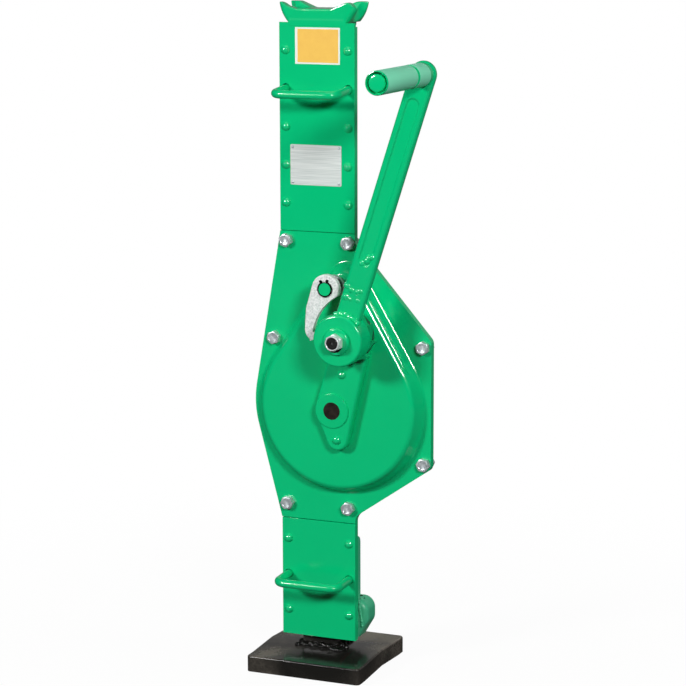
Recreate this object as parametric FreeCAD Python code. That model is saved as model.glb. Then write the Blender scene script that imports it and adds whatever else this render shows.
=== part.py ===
import FreeCAD, Part
import math
import os

# Rack and pinion jack, in millimetres. +Z is up, +X is to the right as seen from the crank side, and
# the crank side faces -Y. The origin lies on the floor under the middle of the foot plate.
# The toothed rack stands fixed on the foot plate, and the housing with its head and toe climbs it.

# Foot plate
foot_width = 134.0
foot_depth = 134.0
foot_thickness = 18.0
foot_arch = 2.7
foot_land = 16.0
foot_corner_radius = 5.0
foot_edge_radius = 2.0
weld_height = 6.0
weld_spread = 6.0

# Column: pressed front plates riveted to a channel with flanges
column_width = 87.0
plate_thickness = 4.0
flange_thickness = 4.0
flange_width = 15.0
channel_wall = 4.0
channel_depth = 40.0
channel_bend_radius = 8.0
column_front_y = -20.0
column_bottom = 33.5
lower_plate_height = 133.5
upper_plate_height = 223.0
flange_top_drop = 4.0
seam_gap = 0.4
low_seam_gap = 1.0
plate_edge_radius = 0.8

# Teeth, shared by both pinions, the large gear and the rack
module = 5.0
pressure_angle = math.radians(26.0)
pinion_teeth = 5
gear_teeth = 30
pinion_shift = 0.42
pinion_addendum = 5.7
pinion_dedendum = 3.65
mate_addendum = 2.4
mate_dedendum = 6.9
tooth_backlash = 0.2

# Gear train
gear_axis_inset = 4.0
crank_lean = math.radians(15.64)
gear_width = 14.0
gear_side_gap = 1.0
gear_web_width = 8.0
gear_rim_depth = 9.0
gear_hub_radius = 24.0
gear_seat_radius = 15.0
gear_journal_radius = 9.5
crank_journal_radius = 9.5
crank_tail_radius = 9.0
shaft_neck_radius = 8.0
running_clearance = 0.05
bush_wall = 3.0
cap_wall = 4.5
cap_floor = 3.0
rear_bush_length = 11.0
crank_tail_length = 15.0

# Rack and its guides
rack_depth = 30.0
rack_front_gap = 4.5
rack_top_gap = 22.0
rack_plain_height = 52.0
rack_end_tooth = 12.0
guide_thickness = 1.7
guide_clearance = 0.3
thrust_guide_height = 70.0
lower_guide_height = 30.0
lower_guide_lift = 3.0

# Gear cover
dome_height = 16.0
dome_gear_room = 8.1
dome_wall_slope = 0.5
dome_rim_radius = 7.0
dome_crease_radius = 4.0
dome_lobe_x = 6.5
dome_lobe_z = 135.0
dome_lobe_radius = 14.0
cover_left_margin = 7.0
cover_top_margin = 31.0
cover_bottom_margin = 34.0
cover_reach = 102.8
cover_low_corner = 61.6
cover_high_corner = 77.5
cover_low_shoulder = 7.7
cover_high_shoulder = 10.0
cover_corner_radius = 8.0
cover_shoulder_radius = 12.0

# Bearing strip on the dome
strip_thickness = 12.0
strip_end_radius = 20.0
strip_tail_radius = 12.0
strip_tail_x = 5.2
strip_tail_z = -31.6
strip_edge_radius = 3.0
strip_rivet_along = 42.0
boss_ring_height = 1.5
boss_ring_wall = 6.5
boss_ring_edge_radius = 1.0

# Fasteners
rivet_shank_radius = 4.0
rivet_head_radius = 5.0
rivet_head_height = 3.6
rivet_edge = 7.5
upper_pitch = 40.8
lower_pitch = 40.5
bolt_radius = 4.0
bolt_hole_clearance = 0.5
bolt_flats = 13.0
bolt_head_height = 5.5
bolt_nut_height = 6.5
bolt_tail = 3.0
upper_bolt_edge = 10.0
lower_bolt_edge = 16.7
side_bolt_left_x = -79.5
side_bolt_right_x = 93.8
side_bolt_high_z = 70.5
side_bolt_low_x = 95.0
side_bolt_low_z = -56.8

# Carrying handles
handle_rod_radius = 4.5
handle_reach = 35.0
handle_bend_radius = 10.0
handle_edge = 7.5
upper_handle_droop = 3.5
lower_handle_droop = 1.3
handle_hole_clearance = 0.6
handle_collar_radius = 5.9
handle_collar_height = 3.0

# Four-horn head
head_height = 21.0
head_base_width = 69.0
head_base_depth = 42.0
head_base_corner = 5.0
head_bulge_width = 81.0
head_bulge_depth = 42.0
head_bulge_corner = 6.0
head_bulge_height = 8.0
head_rim_width = 91.0
head_rim_depth = 42.0
head_rim_corner = 7.0
horn_scallop_radius = 14.5
horn_scallop_reach = 49.5
saddle_depth = 6.6
saddle_width = 33.0
saddle_radius = 6.0
saddle_bank = 17.0
saddle_bank_rise = 7.0
cross_saddle_width = 8.0
cross_saddle_bank = 6.0
horn_radius = 5.0
head_plug_height = 12.0
head_plug_clearance = 0.3

# Lifting toe
toe_reach = 24.0
toe_face_height = 77.0
toe_width = 28.0
toe_clearance = 1.0
toe_nose_radius = 13.0
toe_nose_drop = 24.0
toe_underside_length = 12.5
toe_edge_radius = 6.0
toe_spine_height = 110.0
toe_spine_thickness = 4.5
toe_spine_corner_radius = 8.0

# Safety crank: shaft flange, friction discs, ratchet wheel and hub, clamped by the lock nut
disc_gap = 1.0
shaft_flange_radius = 26.0
shaft_flange_thickness = 4.0
friction_disc_radius = 25.0
friction_disc_thickness = 2.0
ratchet_teeth = 10
ratchet_tip_radius = 31.0
ratchet_root_radius = 25.5
ratchet_thickness = 8.0
ratchet_start = math.radians(174.9)
ratchet_tip_land = math.radians(3.0)
hub_radius = 27.5
hub_length = 25.0
hub_edge_radius = 2.5
washer_radius = 14.5
washer_height = 4.0
washer_edge_radius = 2.0
stud_radius = 6.0
nut_flats = 18.0
nut_height = 6.5
nut_collar_radius = 8.4
nut_collar_height = 3.5

# Crank arm and grip
crank_radius = 296.0
arm_lean = math.radians(18.55)
arm_width = 28.0
arm_thickness = 10.0
arm_setback = 9.0
arm_outward = 9.0
arm_edge_radius = 4.0
arm_groove_margin = 7.0
arm_groove_depth = 1.5
arm_groove_start = 92.0
arm_groove_end = 33.0
eye_radius = 12.4
eye_length = 36.0
grip_radius = 12.2
grip_length = 84.0
grip_end_gap = 2.4
spindle_radius = 7.0
spindle_seat = 15.0
spindle_head_radius = 9.6
spindle_head_height = 4.0
grip_counterbore_clearance = 0.4
grip_recess = 2.0
grip_edge_radius = 2.0

# Pawl
pawl_inset = 8.0
pawl_drop = 1.0
pawl_back_x = -8.5
pawl_back_z = -24.0
pawl_back_radius = 14.0
pawl_heel_x = -10.8
pawl_heel_z = -43.7
pawl_heel_radius = 13.0
pawl_throat_x = 41.4
pawl_throat_z = -56.7
pawl_throat_radius = 57.2
pawl_tip_gap = 0.6
pawl_nose_length = 11.5
pawl_nose_rise = 1.0
pawl_nose_face = math.radians(175.5)
pawl_nose_point = math.radians(7.5)
pawl_nose_root = math.radians(13.5)
pawl_edge_radius = 1.2
pawl_thickness = 7.0
pawl_boss_radius = 15.5
pawl_pin_radius = 6.75
pawl_pin_proud = 1.5
pawl_face_recess = 1.3
pawl_recess_depth = 2.0
pawl_washer_radius = 12.0
pawl_washer_thickness = 6.0
spring_wire_radius = 1.5
spring_clearance = 1.2
spring_turns = 2

# Small geometric tolerance for picking edges, and overlap used when cutting right through
pick = 0.001
through = 1.0

# Derived levels
half_column = column_width / 2
plate_back_y = column_front_y + plate_thickness
flange_back_y = plate_back_y + flange_thickness
channel_outer = half_column - flange_width
channel_inner = channel_outer - channel_wall
channel_back_y = plate_back_y + channel_depth
channel_floor_y = channel_back_y - channel_wall
# Derived tooth sizes
circular_pitch = math.pi * module
pinion_radius = module * pinion_teeth / 2
gear_radius = module * gear_teeth / 2
pinion_tip = pinion_radius + pinion_addendum
pinion_root = pinion_radius - pinion_dedendum
gear_tip = gear_radius + mate_addendum
gear_root = gear_radius - mate_dedendum
pinion_tooth = circular_pitch / 2 + 2 * pinion_shift * module * math.tan(pressure_angle) - tooth_backlash
mate_tooth = circular_pitch / 2 - 2 * pinion_shift * module * math.tan(pressure_angle) - tooth_backlash

# Derived dome: its wall leans by dome_wall_slope and keeps the sheet's thickness
wall_across = plate_thickness * math.hypot(1, dome_wall_slope)
dome_face_radius = gear_tip + dome_gear_room + wall_across - dome_wall_slope * plate_thickness
dome_spread = dome_wall_slope * dome_height
dome_base_radius = dome_face_radius + dome_spread

# Derived axes, each as (x, z)
low_seam = column_bottom + lower_plate_height
gear_axis = (channel_inner + gear_axis_inset, low_seam + cover_bottom_margin + dome_base_radius)
dome_lobe = (gear_axis[0] + dome_lobe_x, gear_axis[1] + dome_lobe_z)
centre_distance = gear_radius + pinion_radius
crank_axis = (gear_axis[0] + centre_distance * math.sin(crank_lean),
              gear_axis[1] + centre_distance * math.cos(crank_lean))
grip_axis = (crank_axis[0] + crank_radius * math.sin(arm_lean),
             crank_axis[1] + crank_radius * math.cos(arm_lean))
pawl_axis = (dome_lobe[0] - pawl_inset, dome_lobe[1] - pawl_drop)

# Derived levels of the column above the gear cover
high_seam = dome_lobe[1] + dome_lobe_radius + dome_spread + cover_top_margin
column_top = high_seam + upper_plate_height
flange_top = column_top - flange_top_drop

# Derived depths of the gear train, from the dome's face forwards and from the flange backwards
dome_face_y = column_front_y - dome_height
dome_inner_y = dome_face_y + plate_thickness
gear_front_y = dome_inner_y + gear_side_gap
gear_back_y = gear_front_y + gear_width
strip_face_y = dome_face_y - strip_thickness
rack_front_y = plate_back_y + rack_front_gap
rack_back_y = rack_front_y + rack_depth
flange_disc_y = strip_face_y - disc_gap
inner_disc_y = flange_disc_y - shaft_flange_thickness
ratchet_back_y = inner_disc_y - friction_disc_thickness
ratchet_front_y = ratchet_back_y - ratchet_thickness
hub_back_y = ratchet_front_y - friction_disc_thickness
hub_face_y = hub_back_y - hub_length
washer_face_y = hub_face_y - washer_height
nut_face_y = washer_face_y - nut_height
stud_end_y = nut_face_y - nut_collar_height + through
arm_front_y = hub_face_y + arm_setback
arm_back_y = arm_front_y + arm_thickness
eye_front_y = arm_front_y - arm_outward - eye_length
grip_back_y = eye_front_y - grip_end_gap
grip_front_y = grip_back_y - grip_length
pawl_back_y = ratchet_back_y - (ratchet_thickness - pawl_thickness) / 2
pawl_front_y = pawl_back_y - pawl_thickness

# Derived rack: its pitch line touches the pinion's pitch circle, and its end is flush with the foot's lands
rack_pitch_x = gear_axis[0] - pinion_radius
rack_tip_x = rack_pitch_x + mate_addendum
rack_root_x = rack_pitch_x - mate_dedendum
rack_heel_x = guide_thickness + guide_clearance - channel_inner
rack_top = column_top - rack_top_gap
rack_bottom = 0.0

# Derived fastener places, each as (x, z)
upper_rows = [high_seam - upper_bolt_edge + row * upper_pitch for row in range(6)]
lower_rows = [low_seam + lower_bolt_edge - row * lower_pitch for row in range(4)]
upper_handle_z = upper_rows[4]
lower_handle_z = lower_rows[2]
rivet_x = half_column - rivet_edge
upper_rivets = [(x, upper_rows[row]) for row in (1, 2, 3, 5) for x in (-rivet_x, rivet_x)]
lower_rivets = [(x, lower_rows[row]) for row in (1, 3) for x in (-rivet_x, rivet_x)]
end_bolts = [(x, z) for z in (upper_rows[0], lower_rows[0]) for x in (-rivet_x, rivet_x)]
side_bolts = [(gear_axis[0] + side_bolt_left_x, gear_axis[1] + side_bolt_high_z),
              (gear_axis[0] + side_bolt_right_x, gear_axis[1] + side_bolt_high_z),
              (gear_axis[0] + side_bolt_low_x, gear_axis[1] + side_bolt_low_z)]
cover_bolt_places = end_bolts + side_bolts
strip_tail = (gear_axis[0] + strip_tail_x, gear_axis[1] + strip_tail_z)
strip_rivet_places = [strip_tail,
                      (gear_axis[0] + strip_rivet_along * math.sin(crank_lean),
                       gear_axis[1] + strip_rivet_along * math.cos(crank_lean))]
handle_leg_x = half_column - handle_edge


def vector(x, y, z):
    """A point or a direction."""
    return FreeCAD.Vector(x, y, z)


def rod(axis, radius, y_start, y_end):
    """A round bar along Y on the axis through (x, z)."""
    return Part.makeCylinder(radius, y_end - y_start, vector(axis[0], y_start, axis[1]), vector(0, 1, 0))


def ring(axis, outer, inner, y_start, y_end):
    """A tube along Y on the axis through (x, z)."""
    return rod(axis, outer, y_start, y_end).cut(rod(axis, inner, y_start - through, y_end + through))


def block(x_start, x_end, y_start, y_end, z_start, z_end):
    """A box between two corners."""
    return Part.makeBox(x_end - x_start, y_end - y_start, z_end - z_start, vector(x_start, y_start, z_start))


def polar(axis, radius, angle, y=0.0):
    """A point at a radius and angle about an axis along Y, the angle counted from +X towards +Z."""
    return vector(axis[0] + radius * math.cos(angle), y, axis[1] + radius * math.sin(angle))


def line(start, end):
    return Part.LineSegment(start, end).toShape()


def arc(axis, radius, angle_start, angle_end, y):
    """An arc about an axis along Y between two angles."""
    middle = (angle_start + angle_end) / 2
    points = [polar(axis, radius, angle, y) for angle in (angle_start, middle, angle_end)]
    return Part.Arc(*points).toShape()


def curve(points):
    """A smooth curve through a few points."""
    spline = Part.BSplineCurve()
    spline.interpolate(points)
    return spline.toShape()


def polygon(points):
    return Part.makePolygon(points + points[:1])


def slab(wire, depth):
    """The area inside a flat wire, thickened along Y."""
    return Part.Face(wire).extrude(vector(0, depth, 0))


def belt(circles, y):
    """The outline of a belt around circles (x, z, radius), listed anticlockwise as seen from the front."""
    count = len(circles)
    normals = []
    for index in range(count):
        x, z, radius = circles[index]
        next_x, next_z, next_radius = circles[(index + 1) % count]
        heading = math.atan2(next_z - z, next_x - x)
        span = math.hypot(next_x - x, next_z - z)
        normals.append(heading - math.acos((radius - next_radius) / span))
    edges = []
    for index in range(count):
        x, z, radius = circles[index]
        next_x, next_z, next_radius = circles[(index + 1) % count]
        arrive = normals[index - 1]
        leave = arrive + (normals[index] - arrive) % (2 * math.pi)
        edges.append(arc((x, z), radius, arrive, leave, y))
        edges.append(line(polar((x, z), radius, leave, y), polar((next_x, next_z), next_radius, leave, y)))
    return Part.Wire(edges)


def outline(corners, y):
    """A closed outline through corners (x, z, radius); a radius of 0 leaves the corner sharp."""
    count = len(corners)
    edges = []
    first = None
    previous = None
    for index in range(count):
        x, z, radius = corners[index]
        here = vector(x, y, z)
        before = corners[index - 1]
        after = corners[(index + 1) % count]
        back = vector(before[0], y, before[1]).sub(here).normalize()
        ahead = vector(after[0], y, after[1]).sub(here).normalize()
        enter = leave = here
        if radius > 0:
            half_turn = back.getAngle(ahead) / 2
            enter = here + back * (radius / math.tan(half_turn))
            leave = here + ahead * (radius / math.tan(half_turn))
            bisector = (back + ahead).normalize()
            middle = here + bisector * (radius / math.sin(half_turn) - radius)
        if previous is not None:
            edges.append(line(previous, enter))
        if radius > 0:
            edges.append(Part.Arc(enter, middle, leave).toShape())
        if first is None:
            first = enter
        previous = leave
    edges.append(line(previous, first))
    return Part.Wire(edges)


def edges_at(shape, axis, value):
    """The edges whose ends all lie at one value of x, y or z."""
    return [edge for edge in shape.Edges
            if all(abs(getattr(end.Point, axis) - value) < pick for end in edge.Vertexes)]


def upright_edges(shape, axis, value):
    """The edges along Z at one value of x or y."""
    return [edge for edge in edges_at(shape, axis, value)
            if abs(edge.BoundBox.ZLength - edge.Length) < pick]


def drilled(shape, places, radius):
    """A shape with round holes right through it along Y."""
    box = shape.BoundBox
    for place in places:
        shape = shape.cut(rod(place, radius, box.YMin - through, box.YMax + through))
    return shape


def hexagon(axis, flats, y_start, y_end):
    """A hexagonal bar along Y, with two flats upright."""
    corners = [polar(axis, flats / math.sqrt(3), math.radians(60 * turn + 30), y_start) for turn in range(6)]
    return slab(polygon(corners), y_end - y_start)


def chamfered_hexagon(axis, flats, y_start, y_end, front=True):
    """A hexagonal bar along Y whose corners at one end are turned down to a cone."""
    height = y_end - y_start
    crown = flats / 2
    base = vector(axis[0], y_end if front else y_start, axis[1])
    direction = vector(0, -1 if front else 1, 0)
    cone = Part.makeCone(crown + height * math.sqrt(3), crown, height, base, direction)
    return hexagon(axis, flats, y_start, y_end).common(cone)


def involute(base_radius, radius):
    """The angle that the involute of a base circle has swept at a radius."""
    roll = math.sqrt(max((radius / base_radius) ** 2 - 1, 0.0))
    return roll - math.atan(roll)


def toothed_wheel(axis, teeth, tooth, tip, root, phase, y_start, y_end):
    """An external spur wheel with involute flanks; one tooth points at the angle phase."""
    pitch_radius = module * teeth / 2
    base = pitch_radius * math.cos(pressure_angle)
    start = max(base, root)
    radii = [start + (tip - start) * share for share in (0.0, 0.2, 0.4, 0.6, 0.8, 1.0)]
    half_pitch_angle = tooth / (2 * pitch_radius) + involute(base, pitch_radius)
    half_angles = [half_pitch_angle - involute(base, radius) for radius in radii]
    step = 2 * math.pi / teeth
    edges = []
    for index in range(teeth):
        middle = phase + index * step
        rising = [polar(axis, radius, middle - half, y_start) for radius, half in zip(radii, half_angles)]
        falling = [polar(axis, radius, middle + half, y_start) for radius, half in zip(radii, half_angles)]
        falling.reverse()
        if root < base:
            edges.append(line(polar(axis, root, middle - half_angles[0], y_start), rising[0]))
        edges.append(curve(rising))
        edges.append(arc(axis, tip, middle - half_angles[-1], middle + half_angles[-1], y_start))
        edges.append(curve(falling))
        if root < base:
            edges.append(line(falling[-1], polar(axis, root, middle + half_angles[0], y_start)))
        edges.append(arc(axis, root, middle + half_angles[0], middle + step - half_angles[0], y_start))
    return slab(Part.Wire(edges), y_end - y_start)


def foot_plate():
    """Thick square plate, pressed into a very shallow roof so that it stands on its front and back lands."""
    half_depth = foot_depth / 2
    slope_end = half_depth - foot_land
    lower = [(-half_depth, 0.0), (-slope_end, 0.0), (0.0, foot_arch), (slope_end, 0.0), (half_depth, 0.0)]
    upper = [(y, z + foot_thickness) for y, z in reversed(lower)]
    section = polygon([vector(-foot_width / 2, y, z) for y, z in lower + upper])
    plate = Part.Face(section).extrude(vector(foot_width, 0, 0))
    corners = [edge for side in (-half_depth, half_depth) for edge in upright_edges(plate, "y", side)]
    plate = plate.makeFillet(foot_corner_radius, corners)
    rim = [edge for edge in plate.Edges
           if edge.BoundBox.ZMin > foot_thickness - pick and edge.BoundBox.ZLength < foot_arch + pick
           and (edge.BoundBox.YLength < foot_width and not is_ridge(edge))]
    plate = plate.makeFillet(foot_edge_radius, rim)
    return plate.cut(rack_bar(rack_bottom))


def is_ridge(edge):
    """True for the straight bend lines that cross the foot plate's top from side to side."""
    across = abs(edge.BoundBox.XLength - foot_width) < pick
    return across and abs(edge.BoundBox.YMax) < foot_depth / 2 - pick


def rack_bar(bottom):
    """The plain bar that the rack is cut from."""
    return block(rack_heel_x, rack_tip_x, rack_front_y, rack_back_y, bottom, rack_top)


def rack():
    """Straight bar with gaps cut for the pinion; one gap faces the pinion at the lowest position."""
    half_gap = (circular_pitch - mate_tooth) / 2
    mouth = half_gap + mate_addendum * math.tan(pressure_angle)
    root = half_gap - mate_dedendum * math.tan(pressure_angle)
    lowest = math.ceil((rack_bottom + rack_plain_height - gear_axis[1]) / circular_pitch)
    highest = math.floor((rack_top - rack_end_tooth - gear_axis[1]) / circular_pitch)
    profile = [(rack_heel_x, rack_bottom), (rack_tip_x, rack_bottom)]
    for index in range(lowest, highest + 1):
        middle = gear_axis[1] + index * circular_pitch
        profile += [(rack_tip_x, middle - mouth), (rack_root_x, middle - root),
                    (rack_root_x, middle + root), (rack_tip_x, middle + mouth)]
    profile += [(rack_tip_x, rack_top), (rack_heel_x, rack_top)]
    return slab(polygon([vector(x, rack_front_y, z) for x, z in profile]), rack_depth)


def foot_weld(plate, bar):
    """Fillet weld all round the foot of the rack."""
    top = foot_thickness + foot_arch + weld_height

    def frame(grow, z):
        return polygon([vector(rack_heel_x - grow, rack_front_y - grow, z),
                        vector(rack_tip_x + grow, rack_front_y - grow, z),
                        vector(rack_tip_x + grow, rack_back_y + grow, z),
                        vector(rack_heel_x - grow, rack_back_y + grow, z)])

    bead = Part.makeLoft([frame(weld_spread, foot_thickness), frame(0.0, top)], True, True)
    return bead.cut(plate).cut(bar)


def cover_outline(y):
    """Outline of the gear cover: a round left side and a five-cornered right side."""
    round_radius = dome_base_radius + cover_left_margin
    touch = []
    for corner_z, side in ((high_seam, 1), (low_seam, -1)):
        to_x = -half_column - gear_axis[0]
        to_z = corner_z - gear_axis[1]
        touch.append(math.atan2(to_z, to_x) + side * math.acos(round_radius / math.hypot(to_x, to_z)))
    half_turn = ((touch[1] - touch[0]) % (2 * math.pi)) / 2
    apex = polar(gear_axis, round_radius / math.cos(half_turn), touch[0] + half_turn)
    right = gear_axis[0] + cover_reach
    corners = [(-half_column, low_seam, 0.0),
               (half_column, low_seam, 0.0),
               (half_column, low_seam + cover_low_shoulder, cover_shoulder_radius),
               (right, gear_axis[1] - cover_low_corner, cover_corner_radius),
               (right, gear_axis[1] + cover_high_corner, cover_corner_radius),
               (half_column, high_seam - cover_high_shoulder, cover_shoulder_radius),
               (half_column, high_seam, 0.0),
               (-half_column, high_seam, 0.0),
               (apex.x, apex.z, round_radius)]
    return outline(corners, y)


def dome_form(grow, y_start, y_end):
    """Teardrop form of the dome between two depths; grow is measured square to the wall in the plane."""
    wires = []
    for y in (y_start, y_end):
        spread = dome_wall_slope * (y - dome_face_y) + grow
        circles = [gear_axis + (dome_face_radius + spread,), dome_lobe + (dome_lobe_radius + spread,)]
        wires.append(belt(circles, y))
    return Part.makeLoft(wires, True, True)


def gear_cover():
    """Pressed cover: flat flange with the teardrop dome over the gears, open at the back."""
    flange = slab(cover_outline(column_front_y), plate_thickness)
    cover = flange.fuse(dome_form(0.0, column_front_y, dome_face_y)).removeSplitter()
    cover = cover.makeFillet(dome_rim_radius, edges_at(cover, "y", dome_face_y))
    crease = [edge for edge in edges_at(cover, "y", column_front_y) if on_dome_base(edge)]
    cover = cover.makeFillet(dome_crease_radius, crease)
    hollow = dome_form(-wall_across, plate_back_y, dome_inner_y)
    inner_rim = dome_rim_radius - plate_thickness
    hollow = hollow.makeFillet(inner_rim, edges_at(hollow, "y", dome_inner_y))
    cover = cover.cut(hollow)
    cover = drilled(cover, [gear_axis], gear_journal_radius + bush_wall)
    cover = drilled(cover, [crank_axis], crank_journal_radius + bush_wall)
    cover = drilled(cover, [pawl_axis], pawl_pin_radius)
    cover = drilled(cover, strip_rivet_places, rivet_shank_radius)
    return drilled(cover, cover_bolt_places, bolt_radius + bolt_hole_clearance)


def on_dome_base(edge):
    """True for the edges of the crease where the dome leaves the flange."""
    circles = [gear_axis + (dome_base_radius,), dome_lobe + (dome_lobe_radius + dome_spread,)]
    base = belt(circles, column_front_y)
    middle = edge.valueAt((edge.FirstParameter + edge.LastParameter) / 2)
    return base.distToShape(Part.Vertex(middle))[0] < pick


def front_plate(z_start, z_end, rivets, handle_z):
    """Flat front plate of the column, with its rivet holes and the two holes of a carrying handle."""
    plate = block(-half_column, half_column, column_front_y, plate_back_y, z_start, z_end)
    plate = plate.makeFillet(plate_edge_radius, edges_at(plate, "y", column_front_y))
    plate = drilled(plate, rivets, rivet_shank_radius)
    return drilled(plate, handle_legs(handle_z), handle_rod_radius + handle_hole_clearance)


def handle_legs(handle_z):
    return [(-handle_leg_x, handle_z), (handle_leg_x, handle_z)]


def pinion_pocket(wall):
    """Room beside the channel for the pinion, as a box grown by a wall."""
    reach = pinion_tip + channel_wall
    top_y = channel_floor_y + wall
    return block(0.0, gear_axis[0] + reach + wall, plate_back_y - through, top_y,
                 gear_axis[1] - reach - wall, gear_axis[1] + reach + wall)


def rear_shell():
    """Pressed channel with flanges, widened beside the pinion; it closes the column and the gear cover."""
    flange = slab(cover_outline(plate_back_y), flange_thickness)
    strip = block(-half_column, half_column, plate_back_y, flange_back_y, column_bottom, flange_top)
    flange = flange.fuse(strip)
    outer = block(-channel_outer, channel_outer, plate_back_y, channel_back_y, column_bottom, flange_top)
    outer = outer.makeFillet(channel_bend_radius, upright_edges(outer, "y", channel_back_y))
    pocket = pinion_pocket(channel_wall).common(
        block(-half_column, cover_reach, plate_back_y, channel_back_y, column_bottom, flange_top))
    shell = flange.fuse([outer, pocket])
    inner = block(-channel_inner, channel_inner, plate_back_y - through, channel_floor_y,
                  column_bottom - through, flange_top + through)
    inner = inner.makeFillet(channel_bend_radius - channel_wall, upright_edges(inner, "y", channel_floor_y))
    shell = shell.cut(inner.fuse(pinion_pocket(0.0))).removeSplitter()
    shell = drilled(shell, [gear_axis], gear_journal_radius + bush_wall)
    shell = drilled(shell, [crank_axis], crank_tail_radius + bush_wall)
    shell = drilled(shell, upper_rivets + lower_rivets, rivet_shank_radius)
    shell = drilled(shell, cover_bolt_places, bolt_radius + bolt_hole_clearance)
    legs = handle_legs(upper_handle_z) + handle_legs(lower_handle_z)
    return drilled(shell, legs, handle_rod_radius + handle_hole_clearance)


def bearing_strip():
    """Thick strip on the dome that carries the front bushes of both shafts."""
    circles = [strip_tail + (strip_tail_radius,),
               crank_axis + (strip_end_radius,),
               gear_axis + (strip_end_radius,)]
    strip = slab(belt(circles, strip_face_y), strip_thickness)
    strip = strip.makeFillet(strip_edge_radius, edges_at(strip, "y", strip_face_y))
    boss_radius = gear_journal_radius + bush_wall + boss_ring_wall
    boss = rod(gear_axis, boss_radius, strip_face_y - boss_ring_height, strip_face_y + through)
    boss = boss.makeFillet(boss_ring_edge_radius, edges_at(boss, "y", strip_face_y - boss_ring_height))
    strip = strip.fuse(boss)
    strip = drilled(strip, [gear_axis], gear_journal_radius + bush_wall)
    strip = drilled(strip, [crank_axis], crank_journal_radius + bush_wall)
    return drilled(strip, strip_rivet_places, rivet_shank_radius)


def dome_head(place, y, direction):
    """Round rivet head standing on a face."""
    sphere_radius = (rivet_head_radius ** 2 + rivet_head_height ** 2) / (2 * rivet_head_height)
    centre_y = y - direction * (sphere_radius - rivet_head_height)
    ball = Part.makeSphere(sphere_radius, vector(place[0], centre_y, place[1]))
    ends = sorted((y, y + direction * (rivet_head_height + through)))
    return ball.common(rod(place, rivet_head_radius + through, *ends))


def column_rivets():
    """Rivets with round heads on both sides, through the front plates and the flanges."""
    rivets = []
    for place in upper_rivets + lower_rivets:
        shank = rod(place, rivet_shank_radius, column_front_y, flange_back_y)
        rivets.append(shank.fuse([dome_head(place, column_front_y, -1), dome_head(place, flange_back_y, 1)]))
    return Part.makeCompound(rivets)


def strip_rivets():
    """Rivets that hold the bearing strip, flush inside the dome."""
    rivets = []
    for place in strip_rivet_places:
        shank = rod(place, rivet_shank_radius, strip_face_y, dome_inner_y)
        rivets.append(shank.fuse(dome_head(place, strip_face_y, -1)))
    return Part.makeCompound(rivets)


def cover_bolts():
    """Hexagon bolts round the edge of the gear cover."""
    bolts = []
    for place in cover_bolt_places:
        head = chamfered_hexagon(place, bolt_flats, column_front_y - bolt_head_height, column_front_y)
        shank = rod(place, bolt_radius, column_front_y, flange_back_y + bolt_nut_height + bolt_tail)
        bolts.append(head.fuse(shank))
    return Part.makeCompound(bolts)


def cover_nuts():
    """Nuts behind the flange."""
    nuts = []
    for place in cover_bolt_places:
        nut = chamfered_hexagon(place, bolt_flats, flange_back_y, flange_back_y + bolt_nut_height, front=False)
        nuts.append(drilled(nut, [place], bolt_radius))
    return Part.makeCompound(nuts)


def carrying_handle(handle_z, droop):
    """Bent round bar that hangs a little in its holes, held by collars behind the flange."""
    bar_y = column_front_y - handle_reach
    bend = handle_bend_radius
    turn = bend * (1 - math.sqrt(0.5))
    collar_end = flange_back_y + handle_collar_height
    left = [vector(-handle_leg_x, flange_back_y + handle_collar_height / 2, handle_z),
            vector(-handle_leg_x, bar_y + bend, handle_z),
            vector(-handle_leg_x + turn, bar_y + turn, handle_z),
            vector(-handle_leg_x + bend, bar_y, handle_z)]
    right = [vector(-point.x, point.y, point.z) for point in reversed(left)]
    path = Part.Wire([line(left[0], left[1]), Part.Arc(*left[1:]).toShape(), line(left[3], right[0]),
                      Part.Arc(*right[:3]).toShape(), line(right[2], right[3])])
    section = Part.Wire(Part.makeCircle(handle_rod_radius, left[0], vector(0, -1, 0)))
    bar = path.makePipeShell([section], True, True)
    hang = math.degrees(math.atan(droop / handle_reach))
    bar.rotate(vector(0, plate_back_y, handle_z), vector(1, 0, 0), hang)
    collars = [rod(place, handle_collar_radius, flange_back_y, collar_end) for place in handle_legs(handle_z)]
    return bar.fuse(collars)


def head_section(width, depth, corner, z):
    """Rounded rectangle at one level; its middle lies over the middle of the head's base."""
    corners = [(side_x * width / 2, side_z * depth / 2, corner)
               for side_x, side_z in ((-1, -1), (1, -1), (1, 1), (-1, 1))]
    section = outline(corners, 0.0)
    section.rotate(vector(0, 0, 0), vector(1, 0, 0), -90)
    section.translate(vector(0, column_front_y + head_base_depth / 2, z))
    return section


def saddle_cut(width, bank, reach):
    """Prism above a saddle: flat floor, banks up to the horns, and flat horn tops."""
    floor = column_top + head_height - saddle_depth
    shoulder = floor + saddle_bank_rise
    right = [(width / 2, floor, saddle_radius / 2),
             (width / 2 + bank, shoulder, horn_radius / 2),
             (reach, shoulder, 0.0),
             (reach, column_top + 2 * head_height, 0.0)]
    left = [(-x, z, radius) for x, z, radius in reversed(right)]
    return slab(outline(right + left, -reach), 2 * reach)


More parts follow.
